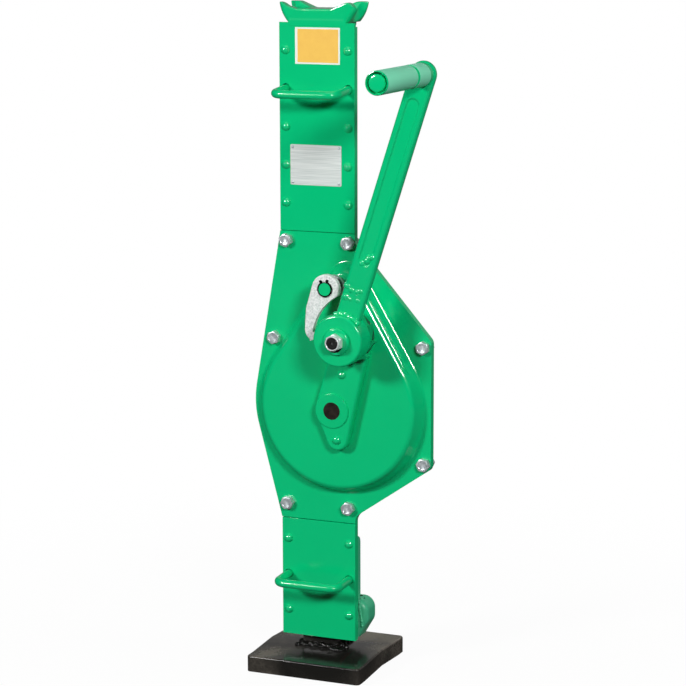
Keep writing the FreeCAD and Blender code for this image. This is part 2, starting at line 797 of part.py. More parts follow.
def horn_head():
    """Cast head: flared sides, four horns between two crossed saddles, and a plug that fits the channel."""
    back_y = column_front_y + head_base_depth
    bulge_z = column_top + head_bulge_height
    rim_z = column_top + head_height + saddle_depth
    sections = [head_section(head_base_width, head_base_depth, head_base_corner, column_top),
                head_section(head_bulge_width, head_bulge_depth, head_bulge_corner, bulge_z),
                head_section(head_rim_width, head_rim_depth, head_rim_corner, rim_z)]
    head = Part.makeLoft(sections, True, False)
    head = head.cut(saddle_cut(saddle_width, saddle_bank, head_rim_width))
    cross = saddle_cut(cross_saddle_width, cross_saddle_bank, head_rim_width)
    cross.rotate(vector(0, 0, 0), vector(0, 0, 1), 90)
    middle_y = column_front_y + head_base_depth / 2
    cross.translate(vector(0, middle_y, 0))
    head = head.cut(cross)
    scallops = [Part.makeCylinder(horn_scallop_radius, 2 * head_height, vector(x, middle_y, column_top))
                for x in (-horn_scallop_reach, horn_scallop_reach)]
    head = head.cut(scallops[0]).cut(scallops[1])
    tread = block(-channel_outer, channel_outer, plate_back_y, back_y, flange_top, column_top)
    fit = channel_inner - head_plug_clearance
    plug_back_y = channel_floor_y - head_plug_clearance
    plug = block(-fit, fit, plate_back_y + head_plug_clearance, plug_back_y,
                 flange_top - head_plug_height, flange_top)
    plug = plug.makeFillet(channel_bend_radius - channel_wall, upright_edges(plug, "y", plug_back_y))
    return head.fuse([tread, plug]).removeSplitter()


def lifting_toe():
    """Forged toe on the right wall of the channel: a claw for low loads under a thin spine plate."""
    root = channel_outer
    nose = root + toe_reach
    front_y = flange_back_y + max(rivet_head_height, handle_collar_height) + toe_clearance
    back_y = front_y + toe_width
    corners = [(root, column_bottom, 0.0),
               (root + toe_underside_length, column_bottom, 0.0),
               (nose, toe_face_height - toe_nose_drop, toe_nose_radius),
               (nose, toe_face_height, toe_nose_radius),
               (root, toe_face_height, 0.0)]
    claw = slab(outline(corners, front_y), toe_width)
    rims = [edge for edge in edges_at(claw, "y", front_y) + edges_at(claw, "y", back_y)
            if edge.BoundBox.XMax > root + pick]
    claw = claw.makeFillet(toe_edge_radius, rims)
    spine_top = column_bottom + toe_spine_height
    spine = block(root, root + toe_spine_thickness, front_y, back_y, column_bottom, spine_top)
    tips = [edge for edge in edges_at(spine, "z", spine_top) if edge.BoundBox.YLength < pick]
    spine = spine.makeFillet(toe_spine_corner_radius, tips)
    return claw.fuse(spine).removeSplitter()


def lower_guide():
    """Ring that guides the rack at the foot of the housing."""
    z_start = column_bottom + lower_guide_lift
    guide = block(-channel_inner, channel_inner, plate_back_y, channel_floor_y,
                  z_start, z_start + lower_guide_height)
    guide = guide.makeFillet(channel_bend_radius - channel_wall, upright_edges(guide, "y", channel_floor_y))
    window = block(rack_heel_x - guide_clearance, rack_tip_x + guide_clearance,
                   rack_front_y - guide_clearance, rack_back_y + guide_clearance,
                   z_start - through, z_start + lower_guide_height + through)
    return guide.cut(window)


def thrust_guide():
    """Wear strip behind the rack that takes the push of the pinion."""
    half_height = thrust_guide_height / 2
    return block(-channel_inner, guide_thickness - channel_inner,
                 rack_front_y, rack_back_y - channel_bend_radius,
                 gear_axis[1] - half_height, gear_axis[1] + half_height)


def rear_cap(axis, bore, y_start, y_end):
    """Closed cup welded behind the shell, which holds a rear bush."""
    cup = rod(axis, bore + cap_wall, y_start, y_end + cap_floor)
    return cup.cut(rod(axis, bore, y_start - through, y_end))


def pinion_shaft():
    """Shaft with the rack pinion cut in one piece with it."""
    front_y = strip_face_y - boss_ring_height
    tail_y = channel_floor_y + rear_bush_length
    pinion = toothed_wheel(gear_axis, pinion_teeth, pinion_tooth, pinion_tip, pinion_root, math.pi,
                           rack_front_y, rack_back_y)
    return pinion.fuse([rod(gear_axis, gear_journal_radius, front_y, gear_front_y),
                        rod(gear_axis, gear_seat_radius, gear_front_y, gear_back_y),
                        rod(gear_axis, gear_journal_radius, gear_back_y, rack_front_y),
                        rod(gear_axis, gear_journal_radius, rack_back_y, tail_y - gear_side_gap)])


def large_gear():
    """Gear on the pinion shaft, with a thinner web between its hub and its rim."""
    gear = toothed_wheel(gear_axis, gear_teeth, mate_tooth, gear_tip, gear_root, math.pi / 2 - crank_lean,
                         gear_front_y, gear_back_y)
    gear = gear.cut(rod(gear_axis, gear_seat_radius, gear_front_y - through, gear_back_y + through))
    recess = (gear_width - gear_web_width) / 2
    rim = gear_root - gear_rim_depth
    front_recess = ring(gear_axis, rim, gear_hub_radius, gear_front_y - through, gear_front_y + recess)
    back_recess = ring(gear_axis, rim, gear_hub_radius, gear_back_y - recess, gear_back_y + through)
    return gear.cut(front_recess).cut(back_recess)


def crank_shaft():
    """Shaft with its pinion, its brake flange and a stud for the lock nut."""
    phase = math.pi / 2 - crank_lean
    pinion = toothed_wheel(crank_axis, pinion_teeth, pinion_tooth, pinion_tip, pinion_root, phase,
                           gear_front_y, gear_back_y)
    tail_y = plate_back_y + crank_tail_length
    return pinion.fuse([rod(crank_axis, crank_journal_radius, flange_disc_y, gear_front_y),
                        rod(crank_axis, shaft_flange_radius, inner_disc_y, flange_disc_y),
                        rod(crank_axis, shaft_neck_radius, hub_face_y, inner_disc_y),
                        rod(crank_axis, stud_radius, stud_end_y, hub_face_y),
                        rod(crank_axis, crank_tail_radius, gear_back_y, tail_y)])


def ratchet_wheel():
    """Saw-toothed wheel: steep faces hold the load, sloping backs pass the pawl while lifting."""
    step = 2 * math.pi / ratchet_teeth
    edges = []
    for index in range(ratchet_teeth):
        steep = ratchet_start + index * step
        root = polar(crank_axis, ratchet_root_radius, steep, ratchet_front_y)
        tip = polar(crank_axis, ratchet_tip_radius, steep, ratchet_front_y)
        shoulder = polar(crank_axis, ratchet_tip_radius, steep - ratchet_tip_land, ratchet_front_y)
        next_root = polar(crank_axis, ratchet_root_radius, steep - step, ratchet_front_y)
        edges.append([line(root, tip), line(tip, shoulder), line(shoulder, next_root)])
    edges.reverse()
    chain = [edge for tooth in edges for edge in tooth]
    wheel = slab(Part.Wire(chain), ratchet_thickness)
    return drilled(wheel, [crank_axis], shaft_neck_radius)


def friction_disc(y_front):
    y_back = y_front + friction_disc_thickness
    return ring(crank_axis, friction_disc_radius, shaft_neck_radius, y_front, y_back)


def crank_hub():
    """Round hub that the arm is welded to."""
    hub = rod(crank_axis, hub_radius, hub_face_y, hub_back_y)
    hub = hub.makeFillet(hub_edge_radius, edges_at(hub, "y", hub_face_y))
    return drilled(hub, [crank_axis], shaft_neck_radius)


def hub_washer():
    """Raised round washer under the lock nut."""
    washer = rod(crank_axis, washer_radius, washer_face_y, hub_face_y)
    washer = washer.makeFillet(washer_edge_radius, edges_at(washer, "y", washer_face_y))
    return drilled(washer, [crank_axis], stud_radius)


def lock_nut():
    """Hexagon nut with a round collar for its locking ring."""
    nut = chamfered_hexagon(crank_axis, nut_flats, nut_face_y, washer_face_y)
    collar = rod(crank_axis, nut_collar_radius, nut_face_y - nut_collar_height, nut_face_y)
    return drilled(nut.fuse(collar), [crank_axis], stud_radius)


def crank_arm():
    """Flat arm with rounded edges and a pressed groove; it leans outwards to the eye that carries the grip."""
    half = arm_width / 2
    arm = slab(belt([crank_axis + (half,), grip_axis + (half,)], arm_front_y), arm_thickness)
    rims = edges_at(arm, "y", arm_front_y) + edges_at(arm, "y", arm_back_y)
    arm = arm.makeFillet(arm_edge_radius, rims)
    along = (math.sin(arm_lean), math.cos(arm_lean))
    ends = [(crank_axis[0] + reach * along[0], crank_axis[1] + reach * along[1])
            for reach in (arm_groove_start, crank_radius - arm_groove_end)]
    groove_half = half - arm_groove_margin
    groove = belt([end + (groove_half,) for end in ends], arm_front_y - through)
    arm = arm.cut(slab(groove, arm_groove_depth + through))
    across = vector(along[1], 0, -along[0])
    hinge = vector(crank_axis[0], arm_front_y, crank_axis[1])
    arm.rotate(hinge, across, math.degrees(math.atan(arm_outward / crank_radius)))
    eye = rod(grip_axis, eye_radius, eye_front_y, eye_front_y + eye_length + arm_thickness / 2)
    arm = arm.fuse(eye)
    arm = arm.cut(rod(grip_axis, spindle_radius, eye_front_y - through, eye_front_y + spindle_seat))
    hub_room = rod(crank_axis, hub_radius, arm_front_y - arm_width, arm_back_y + arm_width)
    return arm.cut(hub_room).removeSplitter()


def grip_spindle():
    """Pin pressed into the eye, which the grip turns on, with a head that keeps the grip on."""
    head_y = grip_front_y + grip_recess
    neck_y = head_y + spindle_head_height
    return rod(grip_axis, spindle_radius, neck_y, eye_front_y + spindle_seat).fuse(
        rod(grip_axis, spindle_head_radius, head_y, neck_y))


def grip_tube():
    """Plain round grip, counterbored for the head of the spindle."""
    tube = rod(grip_axis, grip_radius, grip_front_y, grip_back_y)
    tube = tube.makeFillet(grip_edge_radius, edges_at(tube, "y", grip_front_y))
    tube = drilled(tube, [grip_axis], spindle_radius + running_clearance)
    counterbore_end = grip_front_y + grip_recess + spindle_head_height + grip_counterbore_clearance
    counterbore = spindle_head_radius + grip_counterbore_clearance
    return tube.cut(rod(grip_axis, counterbore, grip_front_y - through, counterbore_end))


def pawl():
    """Hooked pawl on its pin; its throat goes round the ratchet and its nose catches under a tooth."""
    back = (pawl_axis[0] + pawl_back_x, pawl_axis[1] + pawl_back_z, pawl_back_radius)
    heel = (pawl_axis[0] + pawl_heel_x, pawl_axis[1] + pawl_heel_z, pawl_heel_radius)
    hook = slab(belt([pawl_axis + (pawl_boss_radius,), back, heel], pawl_front_y), pawl_thickness)
    hook = hook.makeFillet(pawl_edge_radius, edges_at(hook, "y", pawl_front_y))
    throat_axis = (pawl_axis[0] + pawl_throat_x, pawl_axis[1] + pawl_throat_z)
    throat = rod(throat_axis, pawl_throat_radius, pawl_front_y - through, pawl_back_y + through)
    tip = ratchet_tip_radius + pawl_tip_gap
    root = tip + pawl_nose_length
    nose = [polar(crank_axis, root, pawl_nose_face, pawl_front_y),
            polar(crank_axis, tip, pawl_nose_face, pawl_front_y),
            polar(crank_axis, tip + pawl_nose_rise, pawl_nose_face + pawl_nose_point, pawl_front_y),
            polar(crank_axis, root, pawl_nose_face + pawl_nose_root, pawl_front_y)]
    hook = hook.cut(throat).fuse(slab(polygon(nose), pawl_thickness)).removeSplitter()
    hook = drilled(hook, [pawl_axis], pawl_pin_radius + running_clearance)
    recess = pawl_pin_radius + pawl_face_recess
    return hook.cut(rod(pawl_axis, recess, pawl_front_y - through, pawl_front_y + pawl_recess_depth))


def pawl_pin():
    """Pin riveted into the dome."""
    return rod(pawl_axis, pawl_pin_radius, pawl_front_y - pawl_pin_proud, dome_inner_y)


def pawl_washer():
    """Thick washer between the dome and the pawl's spring."""
    front_y = dome_face_y - pawl_washer_thickness
    return ring(pawl_axis, pawl_washer_radius, pawl_pin_radius, front_y, dome_face_y)


def pawl_spring():
    """Coil spring of drawn eight-sided wire round the pin, behind the pawl."""
    back_y = dome_face_y - pawl_washer_thickness - spring_wire_radius
    length = back_y - spring_wire_radius - pawl_back_y - spring_wire_radius
    radius = pawl_pin_radius + spring_clearance + spring_wire_radius
    helix = Part.makeHelix(length / spring_turns, length, radius)
    turns = [math.radians(22.5 + 45 * step) for step in range(8)]
    corners = [vector(radius + spring_wire_radius * math.cos(turn), 0, spring_wire_radius * math.sin(turn))
               for turn in turns]
    coil = Part.Wire(helix).makePipeShell([Part.makePolygon(corners + corners[:1])], True, True)
    coil.rotate(vector(0, 0, 0), vector(1, 0, 0), 90)
    coil.translate(vector(pawl_axis[0], back_y, pawl_axis[1]))
    return coil


def build():
    """All pieces by node name."""
    bar = rack()
    plate = foot_plate()
    gear_bush_outer = gear_journal_radius + bush_wall
    gear_bush_inner = gear_journal_radius + running_clearance
    crank_bush_outer = crank_journal_radius + bush_wall
    tail_bush_outer = crank_tail_radius + bush_wall
    rear_bush_end = channel_floor_y + rear_bush_length
    tail_bush_end = plate_back_y + crank_tail_length + gear_side_gap
    return {
        "foot_plate": plate,
        "rack": bar,
        "foot_weld": foot_weld(plate, bar),
        "rear_shell": rear_shell(),
        "upper_front_plate": front_plate(high_seam + seam_gap, column_top, upper_rivets, upper_handle_z),
        "lower_front_plate": front_plate(column_bottom, low_seam - low_seam_gap, lower_rivets, lower_handle_z),
        "gear_cover": gear_cover(),
        "bearing_strip": bearing_strip(),
        "column_rivets": column_rivets(),
        "strip_rivets": strip_rivets(),
        "cover_bolts": cover_bolts(),
        "cover_nuts": cover_nuts(),
        "upper_handle": carrying_handle(upper_handle_z, upper_handle_droop),
        "lower_handle": carrying_handle(lower_handle_z, lower_handle_droop),
        "horn_head": horn_head(),
        "lifting_toe": lifting_toe(),
        "lower_guide": lower_guide(),
        "thrust_guide": thrust_guide(),
        "gear_front_bush": ring(gear_axis, gear_bush_outer, gear_bush_inner,
                                strip_face_y - boss_ring_height, dome_inner_y),
        "gear_rear_bush": ring(gear_axis, gear_bush_outer, gear_bush_inner, channel_floor_y, rear_bush_end),
        "gear_rear_cap": rear_cap(gear_axis, gear_bush_outer, channel_back_y, rear_bush_end),
        "crank_front_bush": ring(crank_axis, crank_bush_outer, crank_journal_radius + running_clearance,
                                 strip_face_y, dome_inner_y),
        "crank_rear_bush": ring(crank_axis, tail_bush_outer, crank_tail_radius + running_clearance,
                                plate_back_y, tail_bush_end),
        "crank_rear_cap": rear_cap(crank_axis, tail_bush_outer, flange_back_y, tail_bush_end),
        "pawl_pin": pawl_pin(),
        "pawl_washer": pawl_washer(),
        "pawl_spring": pawl_spring(),
        "pinion_shaft": pinion_shaft(),
        "large_gear": large_gear(),
        "crank_shaft": crank_shaft(),
        "inner_friction_disc": friction_disc(ratchet_back_y),
        "ratchet_wheel": ratchet_wheel(),
        "outer_friction_disc": friction_disc(hub_back_y),
        "crank_hub": crank_hub(),
        "hub_washer": hub_washer(),
        "lock_nut": lock_nut(),
        "crank_arm": crank_arm(),
        "grip_spindle": grip_spindle(),
        "grip_tube": grip_tube(),
        "pawl": pawl(),
    }


os.makedirs("parts", exist_ok=True)
for name, shape in build().items():
    shape.exportStep(os.path.join("parts", name + ".step"))
    print(name, len(shape.Solids), round(shape.Volume / 1000, 2))
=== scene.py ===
# %% [markdown]
# # A rack and pinion jack, dressed over its CAD frame
# A toothed rack stands on a black foot plate, and a green housing climbs it when the crank is turned.
# The solids already have their true size and place. This lesson gives them enamel, plating and cast metal,
# adds the small things that a solid model leaves out, and sets up a plain studio to look at them. Sizes and
# places are written in millimetres, unless a name or a comment says otherwise, and times MM they are the metres
# that Blender works in. The front of the jack looks towards -Y.

# %% Load the frame
import math

import bpy
from mathutils import Euler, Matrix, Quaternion, Vector


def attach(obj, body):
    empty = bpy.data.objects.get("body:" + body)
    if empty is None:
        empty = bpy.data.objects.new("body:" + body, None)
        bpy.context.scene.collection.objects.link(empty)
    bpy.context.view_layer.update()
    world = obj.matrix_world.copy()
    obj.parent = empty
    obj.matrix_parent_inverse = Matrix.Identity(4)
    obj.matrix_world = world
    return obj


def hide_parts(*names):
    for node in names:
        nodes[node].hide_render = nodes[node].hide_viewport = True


MM = 0.001
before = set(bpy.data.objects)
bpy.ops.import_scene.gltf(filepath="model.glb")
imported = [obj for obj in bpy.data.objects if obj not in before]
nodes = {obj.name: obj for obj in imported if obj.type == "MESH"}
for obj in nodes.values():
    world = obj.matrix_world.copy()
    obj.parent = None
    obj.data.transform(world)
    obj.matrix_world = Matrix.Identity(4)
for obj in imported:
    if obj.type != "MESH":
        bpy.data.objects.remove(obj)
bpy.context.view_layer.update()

# %% [markdown]
# ## The camera
# The picture was taken with a long lens from the front right, a little above the jack. A camera is added
# where the photographer stood. The aim is a point near the middle of the gear cover, and a slight roll
# keeps the column as upright as it is in the picture.

# %% Camera
VIEW_AZIMUTH = math.radians(22.889)
VIEW_ELEVATION = math.radians(10.503)
VIEW_ROLL = math.radians(-0.126)
VIEW_DISTANCE = 2591.92 * MM
LENS_MM = 126.36
CLIP_END_M = 100
AIM = Vector((29.63, -20.0, 366.25)) * MM

bpy.ops.object.select_all(action="DESELECT")
turn = Euler((math.pi / 2 - VIEW_ELEVATION, 0, VIEW_AZIMUTH)).to_quaternion()
place = AIM + turn @ Vector((0, 0, VIEW_DISTANCE))
turn = turn @ Quaternion((0, 0, 1), VIEW_ROLL)
bpy.ops.object.camera_add(location=place, rotation=turn.to_euler())
camera = bpy.context.object
camera.data.lens = LENS_MM
camera.data.clip_end = CLIP_END_M
bpy.context.scene.camera = camera
print("camera at", [round(value, 3) for value in place])

# %% [markdown]
# ## Colours and nodes
# Colours are written as sRGB hex values, because that is how a picture shows them, and one function turns
# them to the linear values that a shader works with. Another small function adds a node with its settings,
# values and links, so that a material reads as a list of what it is made of. A third one gives the scale of a
# texture from a size in millimetres.

# %% Colour and node helpers
def linear(code):
    """Linear RGBA of an sRGB hex colour."""
    channels = [int(code[start:start + 2], 16) / 255 for start in (1, 3, 5)]
    return tuple(c / 12.92 if c <= 0.04045 else ((c + 0.055) / 1.055) ** 2.4 for c in channels) + (1.0,)


def add(tree, kind, settings=None, values=None, links=None):
    """Add a node; links maps each of its inputs to a (node, output) pair."""
    node = tree.nodes.new(kind)
    for name, value in (settings or {}).items():
        setattr(node, name, value)
    for name, value in (values or {}).items():
        node.inputs[name].default_value = value
    for name, (source, output) in (links or {}).items():
        tree.links.new(source.outputs[output], node.inputs[name])
    return node


def per_metre(size_mm):
    """Texture scale whose features are about size_mm across."""
    return 1000 / size_mm


print("enamel green in linear light", [round(c, 3) for c in linear("#05CF85")])

# %% [markdown]
# ## Gloss green enamel
# The pressed plates, the arm and the handles are sprayed with a gloss alkyd enamel. To the eye it is a deep,
# even green with sharp reflections that waver a little, because sprayed paint dries with a fine orange peel
# and pressed sheet is never quite flat. The peel is about 1 mm across on the real jack, which is one pixel
# here, so it is drawn about three times as coarse to show at all. On rivets and weld drops the paint stands
# thick and wet-looking, so the same paint gets a clear coat there. Thin overspray is duller, and on the forged
# toe the paint follows a coarse, uneven skin.

# %% Enamel
CLOUD_MM = 70
SWELL_MM = 45
SWELL_DEPTH_MM = 1.2


def material_tree(name):
    """New material with empty nodes, an output and object coordinates."""
    material = bpy.data.materials.new(name)
    material.use_nodes = True
    tree = material.node_tree
    tree.nodes.clear()
    place = add(tree, "ShaderNodeTexCoord")
    output = add(tree, "ShaderNodeOutputMaterial")
    return material, tree, place, output


def enamel(name, bright, deep, peel_mm, peel_depth_mm, roughness, specular, coat=0.0):
    """Sprayed enamel: two close greens in soft clouds, orange peel and slow waves in the sheet."""
    material, tree, place, output = material_tree(name)
    cloud = add(tree, "ShaderNodeTexNoise", None, {"Scale": per_metre(CLOUD_MM), "Detail": 3.0},
                {"Vector": (place, "Object")})
    colour = add(tree, "ShaderNodeMix", {"data_type": "RGBA"}, {6: linear(deep), 7: linear(bright)},
                 {0: (cloud, "Fac")})
    wave = add(tree, "ShaderNodeTexNoise", None, {"Scale": per_metre(SWELL_MM), "Detail": 1.0},
               {"Vector": (place, "Object")})
    peel = add(tree, "ShaderNodeTexNoise", None, {"Scale": per_metre(peel_mm), "Detail": 2.0},
               {"Vector": (place, "Object")})
    swell = add(tree, "ShaderNodeBump", None, {"Strength": 0.12, "Distance": SWELL_DEPTH_MM * MM},
                {"Height": (wave, "Fac")})
    skin = add(tree, "ShaderNodeBump", None, {"Strength": 0.25, "Distance": peel_depth_mm * MM},
               {"Height": (peel, "Fac"), "Normal": (swell, "Normal")})
    gloss = add(tree, "ShaderNodeMapRange", None, {"To Min": roughness * 0.8, "To Max": roughness * 1.25},
                {"Value": (cloud, "Fac")})
    paint = add(tree, "ShaderNodeBsdfPrincipled", None,
                {"IOR": 1.5, "Specular IOR Level": specular, "Coat Weight": coat, "Coat IOR": 1.9},
                {"Base Color": (colour, 2), "Roughness": (gloss, "Result"), "Normal": (skin, "Normal")})
    tree.links.new(paint.outputs["BSDF"], output.inputs["Surface"])
    return material


green_enamel = enamel("gloss_green_enamel", "#05CF85", "#04C57B", peel_mm=3.0, peel_depth_mm=0.05,
                      roughness=0.12, specular=1.0)
thick_enamel = enamel("thick_green_enamel_on_drops", "#05D68A", "#04CC80", peel_mm=3.0, peel_depth_mm=0.05,
                      roughness=0.12, specular=1.0, coat=0.5)
thin_enamel = enamel("thin_green_overspray", "#05BC78", "#049F62", peel_mm=2.0, peel_depth_mm=0.2,
                     roughness=0.4, specular=0.4)
toe_enamel = enamel("forged_toe_green_enamel", "#5CD2A2", "#28B07C", peel_mm=6.0, peel_depth_mm=0.4,
                    roughness=0.36, specular=0.5)
print("made", [item.name for item in (green_enamel, thick_enamel, thin_enamel, toe_enamel)])

# %% [markdown]
# ## Metals
# The bolts are bright zinc plate, which shows faint crystals and a soft sheen. The pawl is a pale zinc casting
# with a grainy skin. Gears and the crank's shaft are machined steel with a satin shine, the pinion's shaft is
# brown-black with oil, and the spring is dark oiled steel. The bushes inside and the guides are warm bronze, and
# the weld at the foot is a lumpy bead under black lacquer. One function serves them all, because they differ
# only in colour, grain size, depth of grain, roughness and in how far they mirror like bare metal.

# %% Metals
def metal(name, bright, deep, grain_mm, grain_depth_mm, roughness, metallic):
    """Metal with a grain in its colour, its roughness and its surface."""
    material, tree, place, output = material_tree(name)
    grain = add(tree, "ShaderNodeTexNoise", None,
                {"Scale": per_metre(grain_mm), "Detail": 4.0, "Roughness": 0.6}, {"Vector": (place, "Object")})
    spread = add(tree, "ShaderNodeMapRange", None, {"From Min": 0.3, "From Max": 0.7},
                 {"Value": (grain, "Fac")})
    colour = add(tree, "ShaderNodeMix", {"data_type": "RGBA"}, {6: linear(deep), 7: linear(bright)},
                 {0: (spread, "Result")})
    skin = add(tree, "ShaderNodeBump", None, {"Strength": 0.5, "Distance": grain_depth_mm * MM},
               {"Height": (grain, "Fac")})
    gloss = add(tree, "ShaderNodeMapRange", None, {"To Min": roughness * 0.75, "To Max": roughness * 1.25},
                {"Value": (spread, "Result")})
    sheen = add(tree, "ShaderNodeBsdfPrincipled", None, {"Metallic": metallic},
                {"Base Color": (colour, 2), "Roughness": (gloss, "Result"), "Normal": (skin, "Normal")})
    tree.links.new(sheen.outputs["BSDF"], output.inputs["Surface"])
    return material


zinc_plate = metal("bright_zinc_plate", "#DDE3E6", "#B0B9BD", grain_mm=3.5, grain_depth_mm=0.03,
                   roughness=0.36, metallic=0.45)
cast_zinc = metal("grey_zinc_casting", "#FFFFFF", "#C6CECB", grain_mm=2.0, grain_depth_mm=0.2,
                  roughness=0.5, metallic=0.1)
gear_steel = metal("machined_gear_steel", "#8F9294", "#6E7173", grain_mm=1.2, grain_depth_mm=0.02,
                   roughness=0.35, metallic=1.0)
spring_steel = metal("oiled_spring_steel", "#3A3B3B", "#1E1F1F", grain_mm=1.5, grain_depth_mm=0.02,
                     roughness=0.35, metallic=1.0)
bronze = metal("bearing_bronze", "#B98A4E", "#9A6E3A", grain_mm=1.5, grain_depth_mm=0.02,
               roughness=0.35, metallic=1.0)
oiled_steel = metal("oiled_black_shaft_steel", "#2A1C13", "#0B0705", grain_mm=3.0, grain_depth_mm=0.05,
                    roughness=0.4, metallic=0.0)
black_weld = metal("black_lacquered_weld", "#161614", "#040404", grain_mm=2.4, grain_depth_mm=0.5,
                   roughness=0.12, metallic=0.0)
print("made", len(bpy.data.materials), "materials so far")

# %% [markdown]
# ## Black lacquer under dust
# The foot plate and the rack are dipped in black lacquer. It mirrors what stands above it, but it lies on the
# floor of a workshop: brownish dust settles in patches, dulls the gloss and lightens the colour. Two noises are
# multiplied, one for patches of about 60 mm and one for specks of about 3 mm. Less dust lies on upright faces,
# and none on one spot that a cloth has wiped. What is left mixes both the colour and the roughness.

# %% Lacquer
WIPED_CLEAN_MM, WIPED_EDGE_MM = 43, 90
DUST_ON_UPRIGHT = 0.4


def lacquer(name, clean, dusty, patch_mm, speck_mm, shine, dull, wiped_mm):
    """Gloss lacquer under patches of dust, with a wiped spot round the place wiped_mm."""
    material, tree, place, output = material_tree(name)
    patch = add(tree, "ShaderNodeTexNoise", None, {"Scale": per_metre(patch_mm), "Detail": 3.0},
                {"Vector": (place, "Object")})
    speck = add(tree, "ShaderNodeTexNoise", None,
                {"Scale": per_metre(speck_mm), "Detail": 4.0, "Roughness": 0.7}, {"Vector": (place, "Object")})
    cover = add(tree, "ShaderNodeMapRange", {"interpolation_type": "SMOOTHSTEP"},
                {"From Min": 0.3, "From Max": 0.65}, {"Value": (patch, "Fac")})
    break_up = add(tree, "ShaderNodeMapRange", None, {"From Min": 0.25, "From Max": 0.7, "To Min": 0.25},
                   {"Value": (speck, "Fac")})
    away = add(tree, "ShaderNodeVectorMath", {"operation": "DISTANCE"}, {1: Vector(wiped_mm) * MM},
               {0: (place, "Object")})
    kept = add(tree, "ShaderNodeMapRange", {"interpolation_type": "SMOOTHSTEP"},
               {"From Min": WIPED_CLEAN_MM * MM, "From Max": WIPED_EDGE_MM * MM}, {"Value": (away, "Value")})
    facing = add(tree, "ShaderNodeSeparateXYZ", None, None, {"Vector": (place, "Normal")})
    lying = add(tree, "ShaderNodeMapRange", None, {"To Min": DUST_ON_UPRIGHT}, {"Value": (facing, "Z")})
    dust = cover
    for part in (break_up, kept, lying):
        dust = add(tree, "ShaderNodeMath", {"operation": "MULTIPLY"}, None, {0: (dust, 0), 1: (part, 0)})
    colour = add(tree, "ShaderNodeMix", {"data_type": "RGBA"}, {6: linear(clean), 7: linear(dusty)},
                 {0: (dust, 0)})
    gloss = add(tree, "ShaderNodeMapRange", None, {"To Min": shine, "To Max": dull}, {"Value": (dust, 0)})
    skin = add(tree, "ShaderNodeBump", None, {"Strength": 0.3, "Distance": 0.12 * MM},
               {"Height": (speck, "Fac")})
    coat = add(tree, "ShaderNodeBsdfPrincipled", None, {"IOR": 1.5, "Specular IOR Level": 0.5},
               {"Base Color": (colour, 2), "Roughness": (gloss, "Result"), "Normal": (skin, "Normal")})
    tree.links.new(coat.outputs["BSDF"], output.inputs["Surface"])
    return material


black_steel = lacquer("black_lacquered_steel", "#1E1D1B", "#A0968A", patch_mm=60, speck_mm=3.0,
                      shine=0.14, dull=0.75, wiped_mm=(22, -45, 45))
print("made", black_steel.name)

# %% [markdown]
# ## Every CAD node gets its finish
# A node keeps its mesh and only changes its material slot. The housing and the crank are green all over, also
# the rivets, which were closed before spraying. The ratchet and its brake discs, behind the hub, only caught a
# thin dull mist of the paint.

# %% Dress the nodes
FINISHES = {
    thick_enamel: ["column_rivets", "strip_rivets"],
    green_enamel: ["rear_shell", "upper_front_plate", "lower_front_plate", "gear_cover", "bearing_strip",
                   "upper_handle", "lower_handle", "horn_head", "gear_rear_cap", "crank_rear_cap", "crank_hub",
                   "hub_washer", "crank_arm", "grip_spindle", "grip_tube", "pawl_pin", "gear_front_bush"],
    thin_enamel: ["ratchet_wheel", "inner_friction_disc", "outer_friction_disc"],
    toe_enamel: ["lifting_toe"],
    black_steel: ["foot_plate", "rack"],
    black_weld: ["foot_weld"],
    zinc_plate: ["cover_bolts", "cover_nuts", "lock_nut", "pawl_washer"],
    cast_zinc: ["pawl"],
    gear_steel: ["large_gear", "crank_shaft"],
    oiled_steel: ["pinion_shaft"],
    spring_steel: ["pawl_spring"],
    bronze: ["lower_guide", "thrust_guide", "gear_rear_bush", "crank_front_bush", "crank_rear_bush"],
}
for finish, names in FINISHES.items():
    for name in names:
        nodes[name].data.materials.clear()
        nodes[name].data.materials.append(finish)
dressed = [name for names in FINISHES.values() for name in names]
print("dressed", len(dressed), "of", len(nodes), "nodes; left:", sorted(set(nodes) - set(dressed)))

# %% [markdown]
# ## Smooth shading
# A solid model arrives as loose flat triangles, and gloss paint would show every one of them. The triangles
# themselves stay as they are. A live modifier merges their corners and keeps only the edges that bend by more
# than 35 degrees sharp, and a second one weights the normals by area, so that flats stay flat beside fillets.

# %% Smooth the nodes
SHARP_BEND = math.radians(35)
MERGE_WITHIN = 0.002 * MM
merge = bpy.data.node_groups.new("merged_smooth_skin", "GeometryNodeTree")
for way in ("INPUT", "OUTPUT"):
    merge.interface.new_socket("Geometry", in_out=way, socket_type="NodeSocketGeometry")
loose = add(merge, "NodeGroupInput")
whole = add(merge, "GeometryNodeMergeByDistance", None, {"Distance": MERGE_WITHIN}, {"Geometry": (loose, 0)})
bend = add(merge, "GeometryNodeInputMeshEdgeAngle")
sharp = add(merge, "FunctionNodeCompare", {"operation": "GREATER_THAN"}, {"B": SHARP_BEND},
            {"A": (bend, "Unsigned Angle")})
smooth = add(merge, "GeometryNodeSetMeshNormal", {"mode": "SHARPNESS"},
             {"Remove Custom": True, "Face Sharpness": False},
             {"Mesh": (whole, 0), "Edge Sharpness": (sharp, 0)})
add(merge, "NodeGroupOutput", None, None, {"Geometry": (smooth, 0)})
for node in nodes.values():
    node.modifiers.new("merged_smooth_skin", "NODES").node_group = merge
    node.modifiers.new("weighted_normals", "WEIGHTED_NORMAL").keep_sharp = True
print("smooth shading on", len(nodes), "nodes")

# %% [markdown]
# ## Modelling by hand
# A few moves come back for every new piece, and they are kept as small functions. The first ones select only
# what is worked on, apply a modifier, and pick faces by their place. Blender's operators act on all that is
# selected, so every move starts by clearing the selection.

